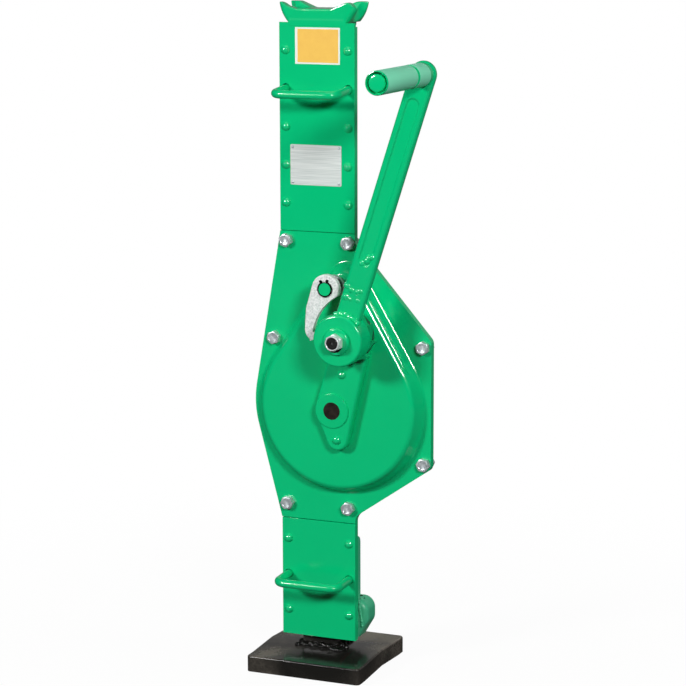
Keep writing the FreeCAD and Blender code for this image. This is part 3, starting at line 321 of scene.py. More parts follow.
# %% Select and modify
def take(*pieces):
    """Select only these pieces, the first one active."""
    bpy.ops.object.select_all(action="DESELECT")
    for piece in pieces:
        piece.select_set(True)
    bpy.context.view_layer.objects.active = pieces[0]


def modify(piece, kind, **settings):
    """Add a modifier with these settings and apply it."""
    take(piece)
    modifier = piece.modifiers.new(kind.lower(), kind)
    for name, value in settings.items():
        setattr(modifier, name, value)
    bpy.ops.object.modifier_apply(modifier=modifier.name)


def pick_faces(piece, test):
    """Go into edit mode with only those faces selected that pass a test on centre (mm) and normal."""
    take(piece)
    bpy.ops.object.mode_set(mode="EDIT")
    bpy.ops.mesh.select_mode(type="FACE")
    bpy.ops.mesh.select_all(action="DESELECT")
    bpy.ops.object.mode_set(mode="OBJECT")
    for face in piece.data.polygons:
        face.select = test(face.center / MM, face.normal)
    bpy.ops.object.mode_set(mode="EDIT")


print("ready to select, modify and pick faces")

# %% [markdown]
# ## Turn, copy and hand over
# Round pieces are turned: a profile is spun round an axis, as on a lathe, and its seam and poles are merged.
# What repeats is modelled once, copied with a mesh for each copy, and joined. A finished piece has its place
# in its mesh and rides on the body that carries it.

# %% Turn, copy and settle
def turned(profile, steps=40):
    """Body of revolution about the z axis; the profile is (radius, height) in mm, from axis to axis."""
    bpy.ops.object.select_all(action="DESELECT")
    bpy.ops.mesh.primitive_circle_add(vertices=len(profile), radius=MM)
    body = bpy.context.object
    for vertex, (radius, height) in zip(body.data.vertices, profile):
        vertex.co = (radius * MM, 0, height * MM)
    bpy.ops.object.mode_set(mode="EDIT")
    bpy.ops.mesh.select_all(action="SELECT")
    bpy.ops.mesh.spin(steps=steps, angle=2 * math.pi, center=(0, 0, 0), axis=(0, 0, 1))
    bpy.ops.mesh.select_all(action="SELECT")
    bpy.ops.mesh.remove_doubles(threshold=0.005 * MM)
    bpy.ops.mesh.delete_loose(use_verts=True, use_edges=True, use_faces=False)
    bpy.ops.mesh.select_all(action="SELECT")
    bpy.ops.mesh.normals_make_consistent(inside=False)
    bpy.ops.object.mode_set(mode="OBJECT")
    return body


def twin_of(piece):
    """Copy of a piece with a mesh of its own."""
    twin = piece.copy()
    twin.data = piece.data.copy()
    bpy.context.collection.objects.link(twin)
    return twin


def joined(pieces):
    """One piece from several, with the place of each put into its mesh."""
    take(*pieces)
    bpy.ops.object.transform_apply(location=True, rotation=True, scale=True)
    bpy.ops.object.join()
    return bpy.context.object


def copies(piece, spots):
    """One piece from copies of a model, its z axis turned to -Y; a spot is (x, y, z, turn in degrees)."""
    made = []
    for x, y, z, turn in spots:
        twin = twin_of(piece)
        facing = Euler((math.pi / 2, 0, 0)).to_quaternion() @ Quaternion((0, 0, 1), math.radians(turn))
        twin.rotation_euler = facing.to_euler()
        twin.location = Vector((x, y, z)) * MM
        made.append(twin)
    bpy.data.objects.remove(piece)
    return joined(made)


def settle(piece, name, finishes, body, slot, *replaced):
    """Name, dress and hand over a finished piece."""
    take(piece)
    bpy.ops.object.transform_apply(location=True, rotation=True, scale=True)
    bpy.ops.object.shade_smooth_by_angle(angle=SHARP_BEND)
    piece.name = name
    piece.data.materials.clear()
    for finish in finishes:
        piece.data.materials.append(finish)
    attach(piece, body)
    if replaced:
        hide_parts(*replaced)
    print(name, "rides on", body, "with", len(piece.data.polygons), "faces")


print("ready to turn, copy and settle")

# %% [markdown]
# ## Cover bolts
# Seven M8 hexagon bolts hold the gear cover to the rear shell. A real head is a hexagon whose corners were
# turned off by a cone, which leaves a curved line on each flat. So a six-sided cylinder is cut down to what it
# shares with a cone, and its face is inset and pressed in a little, as on a forged head. Each bolt was
# tightened to another angle.

# %% Bolts
CONE_SHARE = 0.475
CONE_SLOPE = math.radians(30)


def hexagon(flats, height, ends):
    """Hexagon prism standing on z = 0, corners turned off at the top (ends 1) or at both ends (ends 2)."""
    bpy.ops.object.select_all(action="DESELECT")
    bpy.ops.mesh.primitive_cylinder_add(vertices=6, radius=flats / math.sqrt(3) * MM, depth=height * MM,
                                        location=(0, 0, height / 2 * MM))
    prism = bpy.context.object
    bpy.ops.object.transform_apply(location=True, rotation=True, scale=True)
    tight = CONE_SHARE * flats
    wide = tight + height / math.tan(CONE_SLOPE)
    for end in range(ends):
        radii = (wide, tight) if end == 0 else (tight, wide)
        bpy.ops.mesh.primitive_cone_add(vertices=72, radius1=radii[0] * MM, radius2=radii[1] * MM,
                                        depth=height * MM, location=(0, 0, height / 2 * MM))
        cone = bpy.context.object
        modify(prism, "BOOLEAN", operation="INTERSECT", object=cone, solver="EXACT")
        bpy.data.objects.remove(cone)
    modify(prism, "WELD", merge_threshold=0.05 * MM)
    return prism


# Each bolt's x, z and turn in degrees
BOLT_SPOTS = [(-36, 474.97, 12), (36, 474.97, 41), (-51, 367.47, 50), (122.3, 367.47, 5), (123.5, 240.17, 22),
              (-36, 183.7, 33), (36, 183.7, 18)]
COVER_FRONT = -20.0
BOLT_FLATS = 13.0
HEAD_HEIGHT = 6.2
RIM_WIDTH, PRESS_SLOPE, PRESS_DEPTH = 1.3, 0.5, 0.35

head = hexagon(BOLT_FLATS, HEAD_HEIGHT, 1)
pick_faces(head, lambda centre, normal: normal.z > 0.99)
bpy.ops.mesh.inset(thickness=RIM_WIDTH * MM, depth=0, use_even_offset=False)
bpy.ops.mesh.inset(thickness=PRESS_SLOPE * MM, depth=-PRESS_DEPTH * MM, use_even_offset=False)
bpy.ops.object.mode_set(mode="OBJECT")
bolts = copies(head, [(x, COVER_FRONT, z, turn) for x, z, turn in BOLT_SPOTS])
settle(bolts, "bolt_heads", [zinc_plate], "housing", "zinc_plate", "cover_bolts")

# %% [markdown]
# ## Nuts and thread tails
# Behind the flange each bolt carries a plain nut, chamfered at both ends, and the tail of its thread stands out
# of it. The tail is turned on the lathe with a groove for each turn, which looks like a thread at this size and
# needs far fewer faces than a helix.

# %% Nuts and thread tails
FLANGE_BACK = -12.0
NUT_HEIGHT = 6.5
NUT_TURN = 13
THREAD_RADIUS, THREAD_PITCH, THREAD_TURNS = 4.0, 1.25, 2
ROOT_SHARE, END_SHARE = 0.87, 0.85


def thread(radius, pitch, turns):
    """Profile of a threaded tail that stands on z = 0 and ends in a small chamfer."""
    root = radius * ROOT_SHARE
    profile = [(0, 0), (radius, 0)]
    for index in range(turns):
        profile += [(radius, (index + 0.35) * pitch), (root, (index + 0.6) * pitch),
                    (root, (index + 0.7) * pitch), (radius, (index + 0.95) * pitch)]
    end = (turns + 0.4) * pitch
    return profile + [(radius * END_SHARE, end), (0, end)]


nut = hexagon(BOLT_FLATS, NUT_HEIGHT, 2)
nuts = copies(nut, [(x, FLANGE_BACK + NUT_HEIGHT, z, turn + NUT_TURN) for x, z, turn in BOLT_SPOTS])
settle(nuts, "bolt_nuts", [zinc_plate], "housing", "zinc_plate", "cover_nuts")

tail = turned(thread(THREAD_RADIUS, THREAD_PITCH, THREAD_TURNS))
take(tail)
tail.rotation_euler = (math.pi, 0, 0)
bpy.ops.object.transform_apply(location=True, rotation=True, scale=True)
tails = copies(tail, [(x, FLANGE_BACK + NUT_HEIGHT, z, turn) for x, z, turn in BOLT_SPOTS])
settle(tails, "bolt_tails", [zinc_plate], "housing", "zinc_plate")

# %% [markdown]
# ## Lock nut
# The crank is held by a nylon-insert lock nut. Its pale zinc hexagon carries a round crown that is rolled in
# over a black ring, and the blackened end of the stud stands in the ring. The hexagon comes from the same
# function as the bolts, and the crown, ring and stud are turned. A thin black disc that stands off centre, at
# its lower left, is painted shadow for the dark crescent of shade round the nut there.

# %% Lock nut
CRANK_X, CRANK_Z = 52.0893, 381.2324
WASHER_FACE = -94.0
LOCK_FLATS, LOCK_HEIGHT = 16.5, 6.5
SHADOW_DISC_X, SHADOW_DISC_Z = CRANK_X - 1.5, CRANK_Z - 1.9
CROWN = [(0, 6.0), (8.1, 6.0), (8.1, 8.8), (7.9, 9.5), (7.4, 9.9), (6.9, 9.9), (6.5, 9.6), (6.4, 8.6), (0, 8.6)]
STUD = [(0, 8.0), (6.4, 8.0), (6.4, 9.0), (6.0, 9.3), (5.8, 9.0), (5.6, 9.5), (5.1, 9.9), (2.0, 9.9), (1.4, 9.1),
        (0, 8.7)]
SHADOW_DISC_PROFILE = [(0, 0), (9.6, 0), (9.4, 0.2), (0, 0.2)]
# Dull black of nylon and oiled steel, also used as the painted shadow by the nut, and zinc plate that is paler and
# softer than that of the bolts
black_insert_and_painted_shadow = metal("black_nylon_stud_and_painted_shadow", "#1A1A1A", "#0B0B0B", grain_mm=2.0, grain_depth_mm=0.05,
                     roughness=0.4, metallic=0.0)
pale_zinc = metal("pale_zinc_plate", "#EEF1F2", "#D3D9DB", grain_mm=3.5, grain_depth_mm=0.03,
                  roughness=0.4, metallic=0.3)

nut = joined([hexagon(LOCK_FLATS, LOCK_HEIGHT, 2), turned(CROWN)])
nut = copies(nut, [(CRANK_X, WASHER_FACE, CRANK_Z, 0)])
settle(nut, "lock_nut_hexagon", [pale_zinc], "crank", "zinc_plate", "lock_nut")
stud = copies(turned(STUD), [(CRANK_X, WASHER_FACE, CRANK_Z, 0)])
settle(stud, "lock_nut_insert", [black_insert_and_painted_shadow], "crank", "black_steel")
# A thin black disc off centre at the lower left of the nut: painted shadow
painted_shadow_disc = copies(turned(SHADOW_DISC_PROFILE), [(SHADOW_DISC_X, WASHER_FACE, SHADOW_DISC_Z, 0)])
settle(painted_shadow_disc, "lock_nut_painted_shadow", [black_insert_and_painted_shadow], "crank", "black_steel")

# %% [markdown]
# ## Soft skins
# Castings, forgings and thin plates need three more moves. A plate starts as a cube of its size whose edges
# along Y are bevelled round. A soft piece starts as a copy of its solid, merged into one skin, and is smoothed
# through a vertex group, which says for every place how much of the smoothing it takes. A ramp serves for such
# shares.

# %% Plate and skin helpers
EDGE_BREAK = 0.08


def plate(width, height, thickness, corner, place):
    """Thin plate with round corners, its back at the place given and its face towards -Y."""
    bpy.ops.object.select_all(action="DESELECT")
    x, y, z = place
    bpy.ops.mesh.primitive_cube_add(size=1, location=Vector((x, y - thickness / 2, z)) * MM,
                                    scale=Vector((width, thickness, height)) * MM)
    sheet = bpy.context.object
    bpy.ops.object.transform_apply(location=True, rotation=True, scale=True)
    bpy.ops.object.mode_set(mode="EDIT")
    bpy.ops.mesh.select_mode(type="EDGE")
    bpy.ops.mesh.select_all(action="DESELECT")
    bpy.ops.object.mode_set(mode="OBJECT")
    for edge in sheet.data.edges:
        ends = [sheet.data.vertices[index].co for index in edge.vertices]
        edge.select = abs(ends[0].y - ends[1].y) > thickness / 2 * MM
    bpy.ops.object.mode_set(mode="EDIT")
    bpy.ops.mesh.bevel(offset=corner * MM, segments=6, affect="EDGES")
    bpy.ops.object.mode_set(mode="OBJECT")
    modify(sheet, "BEVEL", width=EDGE_BREAK * MM, segments=1, limit_method="ANGLE",
           angle_limit=math.radians(50))
    return sheet


def skin_of(name):
    """Copy of a CAD node with its loose triangles merged into one skin."""
    skin = bpy.data.objects.new(name, nodes[name].data.copy())
    bpy.context.collection.objects.link(skin)
    take(skin)
    bpy.ops.mesh.customdata_custom_splitnormals_clear()
    bpy.ops.object.mode_set(mode="EDIT")
    bpy.ops.mesh.select_all(action="SELECT")
    bpy.ops.mesh.remove_doubles(threshold=MERGE_WITHIN)
    bpy.ops.object.mode_set(mode="OBJECT")
    return skin


def smooth_out(piece, rounds, share):
    """Smooth a piece; share gives how much of the smoothing a place (in mm) takes, 0 to 1."""
    group = piece.vertex_groups.new(name="softened")
    for vertex in piece.data.vertices:
        group.add([vertex.index], share(vertex.co / MM), "REPLACE")
    modify(piece, "SMOOTH", factor=0.5, iterations=rounds, vertex_group="softened")
    piece.vertex_groups.clear()


def ramp(value, start, length):
    """0 up to start, then rising to 1 over length."""
    return min(1, max(0, (value - start) / length))


print("a ramp from 8 over 13 is", round(ramp(12, 8, 13), 2), "at 12")

# %% [markdown]
# ## Horned head
# The head is a rough casting: its horns end in soft bulbs, and every edge is round under the paint. A copy of
# the solid is remeshed in fine voxels and smoothed more and more from its base to its horns, so that the seat
# on the column stays true. A flat strip over the joint with the front plate is part of it, because there filler
# and thick paint hide the seam. No two horns of a casting are alike: the front left one is drawn out to a point
# and the front right one is blunt, so their tops are pushed down before the smoothing.

# %% Head
COLUMN_TOP = 707.97
HEAD_VOXEL = 0.6
HORN_FRONT = -4
HORN_START, HORN_RISE = 8, 13
HOLLOW_DEPTH, BLUNT_DEPTH = 4.5, 5.5

head = skin_of("horn_head")
strip = plate(width=66.0, height=7.0, thickness=1.2, corner=2.5, place=(0, COVER_FRONT + 1.0, COLUMN_TOP - 0.5))
head = joined([head, strip])
modify(head, "REMESH", mode="VOXEL", voxel_size=HEAD_VOXEL * MM)
for vertex in head.data.vertices:
    x, y, z = vertex.co / MM
    rise = ramp(z - COLUMN_TOP, HORN_START, HORN_RISE) if y < HORN_FRONT else 0
    hollow = ramp(x, -41, 7) * ramp(-x, 14, 10)
    blunt = ramp(x, 33, 10)
    vertex.co.z -= (HOLLOW_DEPTH * hollow + BLUNT_DEPTH * blunt * blunt) * rise * MM
smooth_out(head, 16, lambda spot: ramp(spot.z - COLUMN_TOP, -1, 4))
settle(head, "horn_head_cast", [green_enamel], "housing", "green_paint", "horn_head")

# %% [markdown]
# ## Crank arm
# The arm is a forged bar with a shallow groove, and under the paint the groove's edges are soft. The copy of
# the solid is remeshed and lightly smoothed. The side faces of its eye, which carries the grip, get a second
# material as the grip does: a pale green whose colour is painted sheen, standing in for the broad reflection
# there.

# %% Arm
GRIP_X, GRIP_Z = 146.2564, 661.8541
ARM_VOXEL = 0.8
EYE_START = -96
EYE_SHEEN_REACH = 11
# Pale, even, satin green: painted sheen that stands in for the reflection on round faces along Y
painted_sheen_lacquer = metal("green_lacquer_on_bright_tube", "#90FCD0", "#8AF4C8", grain_mm=40.0, grain_depth_mm=0.0,
                       roughness=0.4, metallic=0.1)

arm = skin_of("crank_arm")
modify(arm, "REMESH", mode="VOXEL", voxel_size=ARM_VOXEL * MM)
smooth_out(arm, 3, lambda spot: 1)
settle(arm, "crank_arm_forged", [green_enamel, painted_sheen_lacquer], "crank", "green_paint", "crank_arm")
# Side faces of the eye outside its bore take the pale green of painted sheen
for face in arm.data.polygons:
    x, y, z = face.center / MM
    if y < EYE_START and abs(face.normal.y) < 0.5 and math.hypot(x - GRIP_X, z - GRIP_Z) > EYE_SHEEN_REACH:
        face.material_index = 1

# %% [markdown]
# ## Grip
# The grip is a thin steel sleeve that turns on a spindle. Its mouth is rolled round, and the spindle's head
# sits in it as a smooth disc with a dark gap all round. A small cone fills the space between the sleeve and the
# eye of the arm. Sleeve and spindle are turned on the lathe, with enough steps to give a clean round
# reflection. Only the outside of the sleeve is pale green, as painted sheen for the reflection along it.

# %% Grip
EYE_FACE = -126.0
SLEEVE_BACK = -130.6
SLEEVE_SHEEN_REACH = 11.8
GRIP_STEPS = 72
SLEEVE = [(7.4, 0), (11.7, 0), (12.1, 0.3), (12.2, 0.8), (12.2, 80.4), (12.0, 81.2), (11.6, 81.7), (11.2, 81.8),
          (10.9, 81.4), (10.8, 80.6), (10.8, 76), (7.4, 76)]
SPINDLE = [(0, 0), (12.3, 0), (12.3, 0.3), (9.4, 4.4), (7.0, 4.5), (7.0, 81.4), (8.2, 81.4), (8.7, 81.9),
           (8.8, 84.6), (8.5, 85.4), (7.8, 85.8), (6.0, 86.0), (0, 86.1)]

sleeve = copies(turned(SLEEVE, GRIP_STEPS), [(GRIP_X, SLEEVE_BACK, GRIP_Z, 0)])
settle(sleeve, "grip_sleeve", [green_enamel, painted_sheen_lacquer], "grip", "green_paint", "grip_tube")
# Outer side faces of the sleeve take the pale green of painted sheen
for face in sleeve.data.polygons:
    reach = math.hypot(face.center.x / MM - GRIP_X, face.center.z / MM - GRIP_Z)
    face.material_index = int(abs(face.normal.y) < 0.2 and reach > SLEEVE_SHEEN_REACH)
spindle = copies(turned(SPINDLE, GRIP_STEPS), [(GRIP_X, EYE_FACE, GRIP_Z, 0)])
settle(spindle, "grip_spindle_turned", [green_enamel], "crank", "green_paint", "grip_spindle")

# %% [markdown]
# ## Circlip
# A black circlip holds the pawl on its pin. It is a ring with a gap and two lugs, at the top here. The ring is
# turned, the faces in the gap are deleted and the two ends are closed, and the lugs are small turned discs.

# %% Circlip
PAWL_X, PAWL_Z = 27.0, 430.9721
PAWL_FACE = -62.5
CLIP_PLAY = 0.1
GAP_DIRECTION, GAP_HALF, LUG_TURN = math.radians(97), math.radians(15), math.radians(23)
LUG_REACH = 9.4
RING = [(6.8, 0), (8.5, 0), (8.5, 1.0), (6.8, 1.0)]
LUG = [(0, 0), (1.5, 0), (1.6, 0.2), (1.6, 0.9), (1.4, 1.1), (0.6, 1.1), (0.6, 0.5), (0, 0.5)]

clip = turned(RING, 72)
pick_faces(clip, lambda centre, normal: abs(math.atan2(centre.y, centre.x) - GAP_DIRECTION) < GAP_HALF)
bpy.ops.mesh.delete(type="FACE")
bpy.ops.mesh.select_all(action="SELECT")
bpy.ops.mesh.fill_holes(sides=0)
bpy.ops.object.mode_set(mode="OBJECT")
parts = [clip]
for turn in (GAP_DIRECTION - LUG_TURN, GAP_DIRECTION + LUG_TURN):
    lug = turned(LUG, 20)
    lug.location = Vector((LUG_REACH * math.cos(turn), LUG_REACH * math.sin(turn), 0)) * MM
    parts.append(lug)
clip = copies(joined(parts), [(PAWL_X, PAWL_FACE - CLIP_PLAY, PAWL_Z, 0)])
settle(clip, "pawl_circlip", [spring_steel], "housing", "spring_steel")

# %% [markdown]
# ## Amber plate on the column
# Near the head a thin blank plate sits on the upper front plate: amber, with a white border that is a little
# wider on the left. It is printed vinyl with a flat colour and a faint sheen. The border is a white plate, and
# a smaller amber one lies on it.

# %% Amber plate
LABEL_Z = 683.6
BORDER_THICKNESS = 0.25
vinyl_amber = metal("amber_printed_vinyl", "#FBC95A", "#F6C04C", grain_mm=12.0, grain_depth_mm=0.02,
                    roughness=0.6, metallic=0.0)
vinyl_white = metal("white_printed_vinyl", "#F4F7F2", "#E9EEE8", grain_mm=12.0, grain_depth_mm=0.02,
                    roughness=0.5, metallic=0.0)

border = plate(width=51.7, height=38.8, thickness=BORDER_THICKNESS, corner=0.8, place=(1.05, COVER_FRONT, LABEL_Z))
settle(border, "label_border", [vinyl_white], "housing", "green_paint")
amber = plate(width=46.9, height=35.2, thickness=0.1, corner=0.5,
              place=(1.55, COVER_FRONT - BORDER_THICKNESS, LABEL_Z))
settle(amber, "label_face", [vinyl_amber], "housing", "green_paint")

# %% [markdown]
# ## Silver plate on the column
# Above the gear cover sits a blank plate of brushed aluminium, held by four small drive pins. The grain runs
# across, so its noise is stretched fifty times along x. Real brush lines are finer than a pixel here, so they
# are drawn a little coarser to show at all.

# %% Silver plate
SILVER_X, SILVER_Z = -1.2, 556.9
SILVER_THICKNESS = 0.5
PIN_X, PIN_Z = 26.8, 18.9
PIN = [(0, 0), (1.5, 0), (1.45, 0.3), (1.1, 0.65), (0.6, 0.85), (0, 0.9)]


def brushed(name, bright, deep, line_mm, roughness):
    """Brushed metal with long streaks along x."""
    material, tree, place, output = material_tree(name)
    stretch = add(tree, "ShaderNodeMapping", None, {"Scale": (0.02, 1.0, 1.0)}, {"Vector": (place, "Object")})
    streak = add(tree, "ShaderNodeTexNoise", None, {"Scale": per_metre(line_mm), "Detail": 3.0},
                 {"Vector": (stretch, "Vector")})
    spread = add(tree, "ShaderNodeMapRange", None, {"From Min": 0.3, "From Max": 0.7},
                 {"Value": (streak, "Fac")})
    colour = add(tree, "ShaderNodeMix", {"data_type": "RGBA"}, {6: linear(deep), 7: linear(bright)},
                 {0: (spread, "Result")})
    skin = add(tree, "ShaderNodeBump", None, {"Strength": 0.3, "Distance": 0.02 * MM},
               {"Height": (streak, "Fac")})
    sheen = add(tree, "ShaderNodeBsdfPrincipled", None, {"Metallic": 0.2, "Roughness": roughness},
                {"Base Color": (colour, 2), "Normal": (skin, "Normal")})
    tree.links.new(sheen.outputs["BSDF"], output.inputs["Surface"])
    return material


brushed_aluminium = brushed("brushed_aluminium", "#EEF2F0", "#CBD3D0", line_mm=0.8, roughness=0.42)
silver = plate(width=59.2, height=43.4, thickness=SILVER_THICKNESS, corner=1.5,
               place=(SILVER_X, COVER_FRONT, SILVER_Z))
settle(silver, "silver_plate", [brushed_aluminium], "housing", "zinc_plate")
pins = copies(turned(PIN, 20), [(SILVER_X + x, COVER_FRONT - SILVER_THICKNESS, SILVER_Z + z, 0)
                                for x in (-PIN_X, PIN_X) for z in (-PIN_Z, PIN_Z)])
settle(pins, "silver_plate_pins", [zinc_plate], "housing", "zinc_plate")

# %% [markdown]
# ## Weld at the foot
# A weld is a row of frozen drops, each lapping over the one before. So one drop is modelled as a ball, copied
# along the seam with small changes of size, and the copies are run together by a remesh. Sines of the drop's
# number make the changes, so that every run gives the same weld. At the foot the hand of the welder wandered,
# and some drops ran out over the plate at two corners.

# %% Foot weld
def along(corners, step):
    """Points about step mm apart along a line of corners in mm."""
    points = []
    for start, end in zip(corners, corners[1:]):
        start, end = Vector(start), Vector(end)
        count = max(1, round((end - start).length / step))
        points += [start.lerp(end, index / count) for index in range(count)]
    return points + [Vector(corners[-1])]


def bead(points, radius, voxel):
    """Weld bead through these points, in mm."""
    bpy.ops.object.select_all(action="DESELECT")
    bpy.ops.mesh.primitive_uv_sphere_add(segments=16, ring_count=10, radius=MM)
    drop = bpy.context.object
    drops = []
    for index, point in enumerate(points):
        twin = twin_of(drop)
        size = radius * (1 + 0.12 * math.sin(2.3 * index) + 0.06 * math.sin(5.1 * index))
        twin.scale = (size, size, size)
        twin.location = Vector(point) * MM
        drops.append(twin)
    bpy.data.objects.remove(drop)
    seam = joined(drops)
    modify(seam, "REMESH", mode="VOXEL", voxel_size=voxel * MM)
    modify(seam, "SMOOTH", factor=0.5, iterations=2)
    return seam


FOOT_LEFT, FOOT_RIGHT, FOOT_FRONT, FOOT_BACK, FOOT_LEVEL = -23.6, 19.6, -13.0, 20.0, 21.2
RUN_OUT = [(14, -17.0, 20.6), (18, -19.5, 20.2), (22, -20.5, 20.6), (25.5, -18.0, 20.2), (27, -12.5, 20.8),
           (26.5, -6.0, 20.4), (-27, -16.5, 20.2)]
ring = [(FOOT_LEFT, FOOT_FRONT, FOOT_LEVEL), (FOOT_RIGHT, FOOT_FRONT, FOOT_LEVEL),
        (FOOT_RIGHT, FOOT_BACK, FOOT_LEVEL), (FOOT_LEFT, FOOT_BACK, FOOT_LEVEL),
        (FOOT_LEFT, FOOT_FRONT, FOOT_LEVEL)]
drops = [point + Vector((1.9 * math.sin(1.7 * index), 1.9 * math.cos(2.9 * index), 1.1 * math.sin(3.7 * index)))
         for index, point in enumerate(along(ring, 2.6))]
seam = bead(drops + RUN_OUT, 3.4, 0.5)
settle(seam, "foot_weld_bead", [black_weld], "base", "black_steel", "foot_weld")

# %% [markdown]
# ## Weld and marks on the arm
# A weld follows the hub's rim at the root of the arm. Higher up, the press left rows of small marks and the
# welder some spatter. They are placed by their distance across and along the arm, from the crank's axis, and
# the spatter is sunk so deep that only the tops of the drops show.

# %% Weld and marks on the arm
ARM_LEAN = math.radians(18.55)
ARM_FACE = -81.0
ARM_TILT = 9.0 / 296.0
ROOT_RADIUS = 28.5
ROOT_PROUD = 0.6
SPATTER_PROUD = -3.7
SPATTER = [(-11.0, 58.2), (-9.4, 57.9), (-7.8, 57.5), (-4.4, 55.5), (2.2, 56.4), (3.7, 57.3), (5.2, 58.1),
           (8.6, 58.2), (-10.1, 44.2), (-8.5, 46.6), (-7.2, 46.2), (-2.8, 45.8), (5.4, 47.4), (3.8, 43.8),
           (2.1, 91.5), (2.8, 94.7), (5.3, 96.2), (6.8, 97.1), (5.1, 85.6), (-2.7, 86.4)]


def on_arm(across, along_arm, proud):
    """Place that stands proud of the arm's front face, from its distance across and along the arm."""
    x = CRANK_X + along_arm * math.sin(ARM_LEAN) + across * math.cos(ARM_LEAN)
    z = CRANK_Z + along_arm * math.cos(ARM_LEAN) - across * math.sin(ARM_LEAN)
    return Vector((x, ARM_FACE - ARM_TILT * along_arm - proud, z))


turns = [math.radians(degrees) for degrees in range(-28, 29, 4)]
root = [on_arm(ROOT_RADIUS * math.sin(turn), ROOT_RADIUS * math.cos(turn), ROOT_PROUD) for turn in turns]
settle(bead(root, 2.6, 0.4), "arm_root_weld", [thick_enamel], "crank", "green_paint")
drops = bead([on_arm(across, reach, SPATTER_PROUD) for across, reach in SPATTER], 4.5, 0.4)
settle(drops, "arm_spatter", [thick_enamel], "crank", "green_paint")

# %% [markdown]
# ## Welds of the rear caps
# Two caps close the bearings at the back, and each is welded on. The weld of the lower cap runs all round. The
# upper cap stands against the channel, so its weld is an open arc.

# %% Welds of the rear caps
# Each cap's centre (x, y, z), the weld's radius and its first and last angle in degrees
CAPS = [(28.5, 24.3, 297.0, 17.2, 0, 360), (52.1, -11.7, 381.2, 16.7, -115, 115)]
CAP_STEP = 7
drops = []
for x, y, z, radius, start, end in CAPS:
    for turn in map(math.radians, range(start, end, CAP_STEP)):
        drops.append((x + radius * math.cos(turn), y, z + radius * math.sin(turn)))
settle(bead(drops, 1.9, 0.45), "rear_cap_welds", [green_enamel], "housing", "green_paint")

# %% [markdown]
# ## Draw line in the dome
# Deep drawing left one faint line in the dome's right wall, between its rim and its foot. It is a slim spindle,
# turned on the lathe, laid along the wall and sunk into it until only a sliver stands proud.

# %% Draw line
LINE_TOP, LINE_END = Vector((58.4, -29.6, 426.2)), Vector((110.0, -30.5, 337.2))
WALL_OUT = Vector((0.771, -0.447, 0.453))
LINE_SUNK = 1.7
LINE = [(0, 0), (2.1, 3), (2.3, 14), (2.5, 60), (2.5, 90), (2.1, 100), (0, 103)]

line = turned(LINE, 64)
line.rotation_euler = (LINE_END - LINE_TOP).to_track_quat("Z", "Y").to_euler()
line.location = (LINE_TOP - LINE_SUNK * WALL_OUT) * MM
settle(line, "dome_draw_line", [green_enamel], "housing", "green_paint")

# %% [markdown]
# ## Weld and punch marks on the toe
# The toe is welded to the housing along its front edge, and three punch marks sit on its top. A mark is a
# small crater with a raised rim, turned once and copied. It is coloured almost black-green, as painted shade
# for the shade inside the crater.

# %% Weld and punch marks on the toe
TOE_SEAM = [(42.6, -6.2, 76), (43.6, -6.9, 66), (45.6, -7.0, 56), (46.4, -7.0, 48)]
PUNCH = [(0, 0), (0.5, 0), (1.2, 0.35), (1.7, 0.3), (2.0, -0.3), (0, -0.3)]
PUNCH_SPOTS = [(38.4, 10.4, 77.0), (43.0, 5.0, 76.2), (40.6, -1.0, 76.6)]
# Almost black-green: painted shade inside the small craters
painted_shade_punch = metal("punch_mark_painted_shade", "#0C3B25", "#06230F", grain_mm=2.0, grain_depth_mm=0.05,
                   roughness=0.6, metallic=0.0)

settle(bead(along(TOE_SEAM, 2.4), 1.9, 0.5), "toe_weld", [toe_enamel], "housing", "toe_paint")
punch = turned(PUNCH, 20)
marks = [twin_of(punch) for spot in PUNCH_SPOTS]
for mark, spot in zip(marks, PUNCH_SPOTS):
    mark.location = Vector(spot) * MM
bpy.data.objects.remove(punch)
settle(joined(marks), "toe_punch_marks", [painted_shade_punch], "housing", "toe_paint")

# %% [markdown]
# ## Studio floor
# The floor is a pale sheet so wide that it fills the view. It shows pure white to the camera and to glass, but
# lights the jack only at a plain level. Gloss paint mirrors a weak share of that white, and only from behind the
# jack, because the room in front of it is dark. So the outlines of the jack stay deep green. A small share of
# the floor round the jack still takes the light of the lamps, which keeps the shadow.

# %% Floor
WHITE = linear("#FFFFFF")
FLOOR_SIZE_M, FLOOR_DROP_M = 80, 0.0002
MIRRORED_FLOOR = 0.1
GLOW_SHARE = 0.95


def seen_directly(tree, backdrop):
    """1 for camera and transmission rays, the value of backdrop for glossy rays, else 0."""
    path = add(tree, "ShaderNodeLightPath")
    mirrored = add(tree, "ShaderNodeMath", {"operation": "MULTIPLY"}, None,
                   {0: (path, "Is Glossy Ray"), 1: (backdrop, 0)})
    either = add(tree, "ShaderNodeMath", {"operation": "MAXIMUM"}, None,
                 {0: (path, "Is Camera Ray"), 1: (mirrored, 0)})
    return add(tree, "ShaderNodeMath", {"operation": "MAXIMUM"}, None,
               {0: (either, 0), 1: (path, "Is Transmission Ray")})


